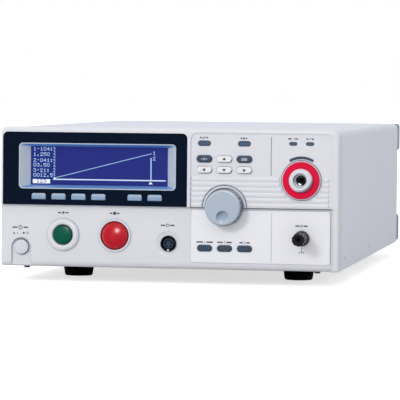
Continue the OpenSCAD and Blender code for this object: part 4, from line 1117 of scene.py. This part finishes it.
@dataclass
class Studio:
    """White studio: camera at the photograph's angle, soft lights, pale floor."""

    camera_offset: Vector = Vector((0.492089, -2.640682, 0.181181))
    camera_right: Vector = Vector((0.985003, 0.172302, 0.008967))
    camera_up: Vector = Vector((-0.016157, 0.040370, 0.999054))
    lens_mm: float = 252.545
    sensor_mm: float = 36.0
    floor_size: float = 40.0
    sky: Colour = (0.975, 0.985, 1.02, 1.0)
    fill: float = 0.72
    mirrored: Pair = (0.06, 0.9)
    mirrored_span: Pair = (-0.3, 0.4)
    floor_glow: float = 0.66
    paper: Colour = (0.8, 0.8, 0.8, 1.0)
    paper_mirrored: Colour = (0.05, 0.05, 0.05, 1.0)
    front_aim: Vector = Vector((0.0, 0.0, 0.07))
    case_aim: Vector = Vector((0.0, 0.1, 0.1))

    def camera(self) -> None:
        """Stand the camera where the photograph was taken."""
        data = bpy.data.cameras.new("camera")
        data.lens = self.lens_mm
        data.sensor_width = self.sensor_mm
        data.clip_end = 100.0
        stand = bpy.data.objects.new("camera", data)
        back = self.camera_right.cross(self.camera_up)
        turn = Matrix((self.camera_right, self.camera_up, back)).transposed()
        stand.matrix_world = Matrix.Translation(FRONT + self.camera_offset) @ turn.to_4x4()
        bpy.context.scene.collection.objects.link(stand)
        bpy.context.scene.camera = stand

    def hang(self, lamp: Lamp) -> None:
        """Hang a soft box.

        Args:
            lamp: The soft box.
        """
        data = bpy.data.lights.new(lamp.name, "AREA")
        data.size = lamp.size
        data.energy = lamp.watts
        box = bpy.data.objects.new(lamp.name, data)
        box.location = lamp.place
        box.visible_glossy = lamp.use is LampUse.GLINTS
        box.visible_diffuse = lamp.use is LampUse.SHADING
        box.rotation_mode = "QUATERNION"
        box.rotation_quaternion = (lamp.aim - lamp.place).to_track_quat("-Z", "Y")
        bpy.context.scene.collection.objects.link(box)

    def seen(self, recipe: Recipe) -> Socket:
        """Return 1 for rays from the camera or through glass, and 0 for light that falls on the object."""
        camera, glass = (recipe.add("LightPath", f"Is {ray} Ray") for ray in ("Camera", "Transmission"))
        return recipe.add("Math", 0, {"operation": "MAXIMUM", 0: camera, 1: glass})

    def sky_light(self) -> None:
        """Fill the room with even cool light, white where it is seen and dim where the front mirrors it."""
        world = bpy.data.worlds.new("studio")
        world.use_nodes = True
        bpy.context.scene.world = world
        recipe = Recipe(world.node_tree, world.node_tree.nodes["Background"])
        seen = self.seen(recipe)
        depth = recipe.add("SeparateXYZ", "Y", {0: recipe.add("TexCoord", "Generated")})
        dim, bright = self.mirrored
        start, end = self.mirrored_span
        mirrored = recipe.add("MapRange", "Result", {"Value": depth, "From Min": start, "From Max": end,
                                                     "To Min": dim, "To Max": bright})
        glossy = recipe.add("LightPath", "Is Glossy Ray")
        unseen = recipe.add("MapRange", "Result", {"Value": glossy, "To Min": self.fill, "To Max": mirrored})
        strength = recipe.add("MapRange", "Result", {"Value": seen, "To Min": unseen, "To Max": 1.0})
        colour = recipe.add("Mix", 2, {"data_type": "RGBA", 0: seen, 6: self.sky, 7: WHITE})
        recipe.feed({"Color": colour, "Strength": strength})

    def floor(self) -> None:
        """Lay a pale floor that looks white and keeps the shadow."""
        Workshop.clear()
        bpy.ops.mesh.primitive_plane_add(size=self.floor_size)
        plane = Workshop.settle("floor")
        material = bpy.data.materials.new("Paper, white, seamless")
        material.use_nodes = True
        recipe = Recipe(material.node_tree, material.node_tree.nodes["Principled BSDF"])
        glossy = recipe.add("LightPath", "Is Glossy Ray")
        tone = recipe.add("Mix", 2, {"data_type": "RGBA", 0: glossy, 6: self.paper, 7: self.paper_mirrored})
        glow = recipe.add("MapRange", "Result", {"Value": self.seen(recipe), "To Max": self.floor_glow})
        recipe.feed({"Roughness": 1.0, "Specular IOR Level": 0.0, "Emission Color": WHITE, "Base Color": tone,
                     "Emission Strength": glow})
        plane.data.materials.append(material)

    def build(self) -> None:
        """Set up the studio."""
        bpy.context.scene.view_settings.view_transform = "Standard"
        self.camera()
        self.sky_light()
        self.floor()
        middle = FRONT + self.front_aim
        matt, gloss = LampUse.SHADING, LampUse.GLINTS
        for lamp in (Lamp("key", FRONT + Vector((-0.75, -1.9, 0.95)), middle, 0.5, 13.0, matt),
                     Lamp("top box", Vector((-0.2, 0.1, 2.2)), self.case_aim, 1.8, 8.0, matt),
                     Lamp("side box", Vector((2.0, 0.1, 0.7)), self.case_aim, 1.0, 0.9, matt),
                     Lamp("glint", FRONT + Vector((0.5, -1.5, 1.32)), middle, 0.9, 42.0, gloss)):
            self.hang(lamp)


@dataclass
class CaseShell:
    """Folded steel case with its feet, bumpers and screws. Heads are radius and height in millimetres."""

    side_screw_y: tuple[float, ...] = (56.0, 270.0, 480.0)
    side_screw_z: float = 11.2
    side_x: float = 164.2
    bezel_screw: Pair = (142.5, 19.2)
    bumper_x: float = 152.2
    bumper_z: Pair = (15.8, 118.8)
    bumper_seat_y: float = 545.0
    foot: Pair = (111.5, 16.0)
    foot_y: Pair = (97.0, 411.0)
    foot_seat_z: float = -4.0
    side_head: Pair = (2.8, 0.8)
    bezel_head: Pair = (3.0, 2.2)
    bumper_head: Pair = (3.2, 2.4)
    foot_head: Pair = (3.4, 2.4)
    slot_w: float = 0.8
    slot_share: float = 0.62
    slot_depth_share: float = 0.9
    rim_share: Pair = (0.55, 0.3)
    rim_steps: int = 4
    top_share: float = 0.9
    corners: int = 32
    smooth_deg: float = 35.0

    def head(self, radius: float, height: float) -> Piece:
        """Model one screw head with a rounded rim and a cross recess.

        Args:
            radius: Radius of the head in millimetres.
            height: Height of the head in millimetres.

        Returns:
            The head at the origin, its seat at z 0 and its face up.
        """
        Workshop.clear()
        bpy.ops.mesh.primitive_cylinder_add(vertices=self.corners, radius=radius * MM, depth=height * MM,
                                            location=(0.0, 0.0, height * MM / 2))
        piece = Workshop.settle("head")
        top = height * MM * self.top_share
        Workshop.choose(piece, "edges", lambda edge: all(v.co.z > top for v in edge.verts))
        rim = min(height * self.rim_share[0], radius * self.rim_share[1])
        bpy.ops.mesh.bevel(offset=rim * MM, segments=self.rim_steps, profile=0.5)
        bpy.ops.object.mode_set(mode="OBJECT")
        slot = (2 * radius * self.slot_share * MM, self.slot_w * MM, height * self.slot_depth_share * MM)
        for turn in (0.0, 90.0):
            Workshop.clear()
            bpy.ops.mesh.primitive_cube_add(size=1.0, rotation=(0.0, 0.0, math.radians(turn)),
                                            location=(0.0, 0.0, height * MM))
            Workshop.cut(piece, Workshop.settle("slot", slot))
        Workshop.pick(piece)
        bpy.ops.object.shade_smooth_by_angle(angle=math.radians(self.smooth_deg))
        return piece

    def spread(self, size: Pair, out: tuple[int, int, int], seats: list[Vector]) -> list[Piece]:
        """Model a head and copy it to its seats.

        Args:
            size: Radius and height of the head in millimetres.
            out: Outward direction on the right-hand side, mirrored on the left.
            seats: Seats of the heads.

        Returns:
            The heads, each with its own mesh.
        """
        pattern = self.head(*size)
        heads = []
        for seat in seats:
            way = Vector((math.copysign(out[0], seat.x) if out[0] else 0, out[1], out[2]))
            copy = pattern.copy()
            copy.data = pattern.data.copy()
            copy.data.transform(Matrix.Translation(seat) @ way.to_track_quat("Z", "Y").to_matrix().to_4x4())
            bpy.context.scene.collection.objects.link(copy)
            heads.append(copy)
        bpy.data.objects.remove(pattern)
        return heads

    def screws(self) -> None:
        """Set screw heads on the sides, below the bezel, in the bumpers and in the feet."""
        pair = (-1, 1)
        bezel_x, bezel_y = self.bezel_screw
        foot_x, foot_mid = self.foot
        sides = [at(s * self.side_x, y, self.side_screw_z) for s in pair for y in self.side_screw_y]
        below = [at(s * bezel_x, bezel_y, 0.0) for s in pair]
        rear = [at(s * self.bumper_x, self.bumper_seat_y, z) for s in pair for z in self.bumper_z]
        feet = [at(s * foot_x, y + foot_mid, self.foot_seat_z) for s in pair for y in self.foot_y]
        painted = Workshop.join("side_screw_heads", self.spread(self.side_head, (1, 0, 0), sides))
        place_on(painted, "case", Stock.COVER)
        heads = self.spread(self.bezel_head, (0, 0, -1), below)
        heads += self.spread(self.bumper_head, (0, 1, 0), rear)
        heads += self.spread(self.foot_head, (0, 0, -1), feet)
        screws = place_on(Workshop.join("case_screw_heads", heads), "case", Stock.SCREW)
        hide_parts("case_screws")
        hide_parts("case_screws")

    def build(self) -> None:
        """Dress the shell and set its screws."""
        Stock.COVER.dress_nodes("top_cover")
        Stock.REAR.dress_nodes("rear_panel", "chassis_base")
        Stock.ZINC.dress_nodes("front_subpanel")
        Stock.FOOT.dress_nodes("feet")
        Stock.BUMPER.dress_nodes("rear_bumpers")
        self.screws()


@dataclass
class FrontBezel:
    """Moulded front with its label plate and printed marks."""

    ink_mm: float = 0.05
    lower: tuple[Mark, ...] = (
        Mark(-103.6, 52.4, Symbols.START, 10.6, 4.4), Mark(-53.0, 52.6, Symbols.STOP, 9.4, 4.4),
        Mark(-146.1, 37.6, Symbols.POWER, 15.6, 6.2), Mark(-150.8, 32.1, Symbols.ON),
        Mark(-141.0, 32.1, Symbols.OFF), Mark(-1.0, 41.9, Symbols.SOCKET, 13.4, 5.2))
    upper: tuple[Mark, ...] = (
        Mark(34.3, 126.7, Symbols.PASSED, 7.8, 4.2), Mark(73.0, 126.4, Symbols.FAILED, 6.6, 3.4),
        Mark(120.3, 126.5, (Figure(body="1"),), 9.2, 3.2), Mark(136.5, 126.5, (Figure(body="2"),), 7.0, 3.2))
    plate: tuple[Mark, ...] = (
        Mark(35.3, 26.6, (Figure(body="1"),), 16.0, 3.4), Mark(54.65, 26.6, (Figure(body="2"),), 14.0, 3.4),
        Mark(74.0, 26.6, (Figure(body="3"),), 10.0, 3.4), Mark(128.8, 43.5, Symbols.POST, 11.6, 3.8),
        Mark(129.2, 18.6, Symbols.GROUND))
    rule: tuple[Mark, ...] = (Mark(99.5, 109.5, (Stroke(length=37.0, turn=90.0, width=0.9),)),)

    def build(self) -> None:
        """Dress the front and print its marks."""
        Stock.BEZEL.dress_nodes("front_bezel")
        Stock.PLATE.dress_nodes("terminal_panel")
        for name, face, marks, ink in (("lower_marks", Face.LOWER, self.lower, Stock.INK),
                                       ("upper_marks", Face.UPPER, self.upper, Stock.INK),
                                       ("plate_marks", Face.PLATE, self.plate, Stock.INK),
                                       ("field_rule", Face.UPPER, self.rule, Stock.LINE_INK)):
            flats = [flat for mark in marks for flat in mark.draw(face)]
            place_on(Workshop.film(name, flats, self.ink_mm * MM), "case", ink)


@dataclass
class DisplayUnit:
    """Navy panel, flared surround and back-lit screen with its picture, in columns and lines of dots."""

    dot_mm: float = 0.06
    bold_gap_mm: float = 0.03
    text_gap_mm: float = 0.075
    columns: int = 240
    lines: int = 64
    size: Pair = (133.3, 36.9)
    middle: Pair = (-69.8, 97.6)
    text_column: int = 3
    rows: tuple[tuple[int, str], ...] = ((1, "1-104:"), (10, "1.250"), (20, "2-041:"), (28, "03.50"),
                                         (37, "3-21:"), (45, "0012.5"))
    box: tuple[int, int, int, int] = (2, 33, 55, 62)
    box_figures: str = "123"
    box_margin: int = 7
    axis_column: int = 41
    axis_top: int = 1
    tick: int = 2
    tick_pitch: int = 5
    base_line: int = 54
    base_margins: Dot = (3, 2)
    axis_pointer: Dot = (-2, 2)
    cursor_pointer: Dot = (3, 4)
    label_gap: int = 2
    label_rise: int = 3
    ramp: tuple[int, int, int, int] = (42, 52, 213, 9)
    cursor_column: int = 211
    cursor_top: int = 17

    def figures(self, body: str, column: int, line: int) -> set[Dot]:
        """Return the dots of figures, from their top left dot."""
        return {(column + (GLYPH_W + 1) * i + bit, line + drop) for i, figure in enumerate(body)
                for drop, bits in enumerate(GLYPHS[figure]) for bit in range(GLYPH_W)
                if bits >> (GLYPH_W - 1 - bit) & 1}

    def block(self, column: int, column_end: int, line: int, line_end: int) -> set[Dot]:
        """Return the dots of a filled block, ends left out."""
        return {(c, r) for c in range(column, column_end) for r in range(line, line_end)}

    def peak(self, column: int, line: int, height: int) -> set[Dot]:
        """Return the dots of a filled triangle under its tip."""
        return {(column + side, line + drop) for drop in range(height) for side in range(-drop, drop + 1)}

    def base(self, line: int) -> set[Dot]:
        """Return the dots of one line along the foot of the graph."""
        left, right = self.base_margins
        return self.block(self.axis_column - left, self.columns - right, line, line + 1)

    def bold(self) -> set[Dot]:
        """Light the inverse box, base line and pointers.

        Returns:
            The lit dots.
        """
        lit = self.block(*self.box)
        lit -= self.figures(self.box_figures, self.box[0] + self.box_margin, self.box[2])
        lit |= self.base(self.base_line)
        for column, (drop, height) in ((self.axis_column, self.axis_pointer),
                                       (self.cursor_column, self.cursor_pointer)):
            lit |= self.peak(column, self.base_line + drop, height)
        return lit

    def fine(self) -> set[Dot]:
        """Light the readings, ticked axis, stepped ramp and cursor.

        Returns:
            The lit dots.
        """
        lit = self.base(self.base_line + 1)
        for line, body in self.rows:
            lit |= self.figures(body, self.text_column, line)
        axis, tick = self.axis_column, self.tick
        for line in range(self.axis_top, self.base_line, self.tick_pitch):
            lit |= self.block(axis - tick, axis, line, line + tick)
            lit |= self.block(axis, axis + 1, line + tick, line + 2 * tick)
        column, line, column_end, line_end = self.ramp
        for step in range(column, column_end):
            share = (step - column) / (column_end - column)
            lit.add((step, round(line + share * (line_end - line))))
        lit |= self.block(self.cursor_column, self.cursor_column + 2, self.cursor_top, self.base_line)
        label = column_end + self.label_gap
        lit |= self.figures("1", label, line_end - self.label_rise)
        return lit | self.figures("2", label, self.cursor_top - self.label_gap)

    def raster(self, lit: set[Dot], gap: float) -> Piece:
        """Cut a grid of dots down to the lit ones.

        Args:
            lit: Column and line of each lit dot.
            gap: Dark margin round each dot in millimetres.

        Returns:
            The lit dots as separate flat squares.
        """
        wide, high = (side * MM for side in self.size)
        x, z = self.middle
        place = at(x, Face.SCREEN.value, z)
        left, top = place.x - wide / 2, place.z + high / 2

        def dark(cell: bmesh.types.BMFace) -> bool:
            """Return True for a dot that isn't lit."""
            spot = cell.calc_center_median()
            column = int((spot.x - left) / wide * self.columns)
            return (column, int((top - spot.z) / high * self.lines)) not in lit

        Workshop.clear()
        bpy.ops.mesh.primitive_grid_add(x_subdivisions=self.columns, y_subdivisions=self.lines, size=1.0,
                                        rotation=facing(), location=place)
        piece = Workshop.settle("dots", (wide, high, 1.0))
        Workshop.choose(piece, "faces", dark)
        bpy.ops.mesh.delete(type="FACE")
        bpy.ops.mesh.select_all(action="SELECT")
        bpy.ops.mesh.inset(thickness=gap * MM, depth=0.0, use_individual=True)
        bpy.ops.mesh.select_all(action="INVERT")
        bpy.ops.mesh.delete(type="FACE")
        bpy.ops.object.mode_set(mode="OBJECT")
        return piece

    def build(self) -> None:
        """Dress the display and draw its picture."""
        Stock.NAVY.dress_nodes("display_panel")
        Stock.SURROUND.dress_nodes("display_surround")
        Stock.SCREEN.dress_nodes("lcd_glass")
        Stock.BOARD.dress_nodes("lcd_module")
        bold = self.bold()
        fine = self.fine() - bold
        for name, lit, gap, finish in (("screen_bold", bold, self.bold_gap_mm, Stock.DOTS),
                                       ("screen_fine", fine, self.text_gap_mm, Stock.TEXT_DOTS)):
            place_on(Workshop.film(name, [self.raster(lit, gap)], self.dot_mm * MM), "case", finish)


@dataclass
class KeyField:
    """Soft keys, cursor keys and mode keys with their printed marks."""

    print_mm: float = 0.04
    arrow_mm: float = 1.9
    arrows: tuple[tuple[str, Heading], ...] = (("up_key", Heading.UP), ("left_key", Heading.LEFT),
                                               ("down_key", Heading.DOWN), ("right_key", Heading.RIGHT))

    def mark(self, key: str, shapes: tuple[Shape, ...], ink: Finish) -> None:
        """Print a symbol on the middle of a key's front, to ride on the key.

        Args:
            key: Name of the key's node and body.
            shapes: Shapes of the symbol.
            ink: Finish of the print.
        """
        low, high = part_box(key)
        middle = Vector(((low.x + high.x) / 2, low.y, (low.z + high.z) / 2))
        flats = [shape.draw(middle) for shape in shapes]
        place_on(Workshop.film(f"{key}_mark", flats, self.print_mm * MM), key, ink)

    def build(self) -> None:
        """Dress the keys and print their marks, which ride on them."""
        Stock.SOFT_KEY.dress_nodes(*[f"soft_key_{i}" for i in range(1, 7)])
        Stock.SLATE_KEY.dress_nodes("escape_key", "page_key", *[f"mode_key_{i}" for i in range(1, 4)])
        Stock.WHITE_KEY.dress_nodes(*[key for key, _ in self.arrows])
        for key, heading in self.arrows:
            self.mark(key, (Patch(radius=self.arrow_mm, corners=3, heading=heading),), Stock.KEY_INK)
        self.mark("escape_key", Symbols.ESCAPE, Stock.PALE_INK)
        self.mark("page_key", Symbols.PAGE, Stock.PALE_INK)


@dataclass
class Controls:
    """Dial, push buttons and indicator lenses."""

    def build(self) -> None:
        """Dress the controls."""
        Stock.DIAL.dress_nodes("jog_dial")
        Stock.SHAFT.dress_nodes("encoder_shaft")
        Stock.GREEN.dress_nodes("start_button")
        Stock.RED.dress_nodes("stop_button")
        Stock.POWER.dress_nodes("power_button")
        Stock.LENS.dress_nodes("indicator_lenses")
        Stock.SLATE_KEY.dress_nodes("hv_warning_lens")
        Stock.BLACK.dress_nodes("encoder_body", "push_switches", "mains_switch", "tact_switches")
        Stock.BOARD.dress_nodes("key_board", "soft_key_board")


@dataclass
class Terminals:
    """High-voltage terminal, return post and remote socket with its pin insert, in millimetres."""

    insert_r: float = 5.2
    insert_y: Pair = (5.4, 11.48)
    insert_rim: float = 0.4
    hole_r: float = 1.0
    hole_ring: float = 3.3
    hole_depth: float = 3.0
    hole_turns: tuple[int, ...] = (0, 45, 90, 135, 180, 235, 305)
    # White film on the socket's key: a painted glint
    glint_patch: Pair = (1.8, 1.6)
    glint_drop: float = 6.3
    glint_t: float = 0.05
    leaf_r: Pair = (3.4, 4.7)
    leaf_y: Pair = (1.6, 6.4)
    leaf_rim: float = 0.3
    leaf_slot: float = 0.6
    slot_turns: tuple[int, ...] = (20, 80, 140)
    funnel_y: float = 0.6
    funnel_over: float = 0.1
    overcut: float = 1.0
    slot_reach: float = 3.0
    rim_steps: int = 3
    corners: int = 40

    def drum(self, radius: float, span: Pair, centre: Vector, name: str = "cutter") -> Piece:
        """Make a round bar that lies along the depth.

        Args:
            radius: Radius in millimetres.
            span: Depths of its ends behind the rim in millimetres.
            centre: Point on its axis in the row frame.
            name: Name of the piece.

        Returns:
            The bar.
        """
        Workshop.clear()
        middle = Vector((centre.x, FRONT.y + sum(span) / 2 * MM, centre.z))
        bpy.ops.mesh.primitive_cylinder_add(vertices=self.corners, radius=radius * MM, rotation=facing(),
                                            depth=(span[1] - span[0]) * MM, location=middle)
        return Workshop.settle(name)

    def soften(self, piece: Piece, radius: float) -> None:
        """Round the front and rear rims of a bar.

        Args:
            piece: The bar.
            radius: Radius of the rounding in millimetres.
        """
        bpy.ops.object.mode_set(mode="EDIT")
        bpy.ops.mesh.select_all(action="DESELECT")
        Workshop.choose(piece, "edges", lambda edge: abs(edge.verts[0].co.y - edge.verts[1].co.y) < LEVEL)
        bpy.ops.mesh.bevel(offset=radius * MM, segments=self.rim_steps, profile=0.5)
        bpy.ops.object.mode_set(mode="OBJECT")

    def middle_of(self, node: str) -> Vector:
        """Return the middle of a node's box."""
        low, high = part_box(node)
        return (low + high) / 2

    def insert(self) -> None:
        """Stand the pin insert in the remote socket, with its bores, and a white film on its key as a painted
        glint.
        """
        centre = self.middle_of("remote_socket")
        piece = self.drum(self.insert_r, self.insert_y, centre, "remote_insert")
        self.soften(piece, self.insert_rim)
        front = self.insert_y[0]
        reach = (front - self.overcut, front + self.hole_depth)
        for turn in self.hole_turns:
            way = Vector((math.cos(math.radians(turn)), 0.0, math.sin(math.radians(turn))))
            Workshop.cut(piece, self.drum(self.hole_r, reach, centre + way * self.hole_ring * MM))
        place_on(piece, "case", Stock.INSERT)
        low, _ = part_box("remote_socket")
        # Painted glint: a white film on the socket's key
        key = Vector((centre.x, low.y, centre.z - self.glint_drop * MM))
        glint_patch = Workshop.strip(self.glint_patch[0] * MM, self.glint_patch[1] * MM, key)
        place_on(Workshop.film("remote_key_glint", [glint_patch], self.glint_t * MM), "case", Stock.INSULATOR)

    def leaves(self) -> None:
        """Stand a slotted spring sleeve with a funnel mouth in the high-voltage socket."""
        centre = self.middle_of("hv_insulator")
        inner, outer = self.leaf_r
        near, far = self.leaf_y
        piece = self.drum(outer, self.leaf_y, centre, "hv_leaves")
        self.soften(piece, self.leaf_rim)
        Workshop.cut(piece, self.drum(inner, (near - self.overcut, far + self.overcut), centre))
        Workshop.clear()
        over = self.funnel_over
        flare = (outer - inner) / self.funnel_y * over
        depth = FRONT.y + (near + self.funnel_y / 2 - over / 2) * MM
        bpy.ops.mesh.primitive_cone_add(vertices=self.corners, radius1=inner * MM,
                                        radius2=(outer + flare) * MM, depth=(self.funnel_y + over) * MM,
                                        rotation=facing(), location=(centre.x, depth, centre.z))
        Workshop.cut(piece, Workshop.settle("funnel"))
        place = Vector((centre.x, FRONT.y + near * MM, centre.z))
        for turn in self.slot_turns:
            Workshop.clear()
            bpy.ops.mesh.primitive_cube_add(size=1.0, rotation=(0.0, math.radians(turn), 0.0), location=place)
            slot = (outer * self.slot_reach * MM, (far - near) * MM, self.leaf_slot * MM)
            Workshop.cut(piece, Workshop.settle("slot", slot))
        place_on(piece, "case", Stock.DARK_NICKEL)

    def build(self) -> None:
        """Dress the terminals and fit the insert and the spring sleeve."""
        Stock.CRIMSON.dress_nodes("hv_ring")
        Stock.INSULATOR.dress_nodes("hv_insulator")
        Stock.DARK_NICKEL.dress_nodes("hv_contact", "return_stud")
        Stock.BRASS.dress_nodes("nut_insert")
        Stock.BLACK.dress_nodes("return_collar", "return_nut", "remote_socket")
        self.insert()
        self.leaves()


@dataclass
class RearFittings:
    """Fan, mains inlet, ports and ground terminal on the rear."""

    def build(self) -> None:
        """Dress the rear fittings."""
        Stock.BLACK.dress_nodes("fan_frame", "fan_rotor", "mains_inlet", "fuse_drawer")
        Stock.WIRE.dress_nodes("fan_guard")
        Stock.NICKEL.dress_nodes("rear_ports")
        Stock.BRASS.dress_nodes("ground_terminal")


@dataclass
class Internals:
    """Transformers, heat sink and boards inside the case."""

    def build(self) -> None:
        """Dress the inside."""
        Stock.COIL.dress_nodes("mains_transformer")
        Stock.CORE.dress_nodes("hv_transformer")
        Stock.ALUMINIUM.dress_nodes("heat_sink")
        Stock.BOARD.dress_nodes("circuit_boards")


def main() -> None:
    """Build the studio and dress each sub-assembly in order."""
    logging.basicConfig(level=logging.INFO, format="%(name)s: %(message)s")
    for part in (Studio(), CaseShell(), FrontBezel(), DisplayUnit(), KeyField(), Controls(), Terminals(),
                 RearFittings(), Internals()):
        part.build()
        LOG.info("%s done", type(part).__name__)
    Workshop.clear()


if __name__ == "__main__":
    main()
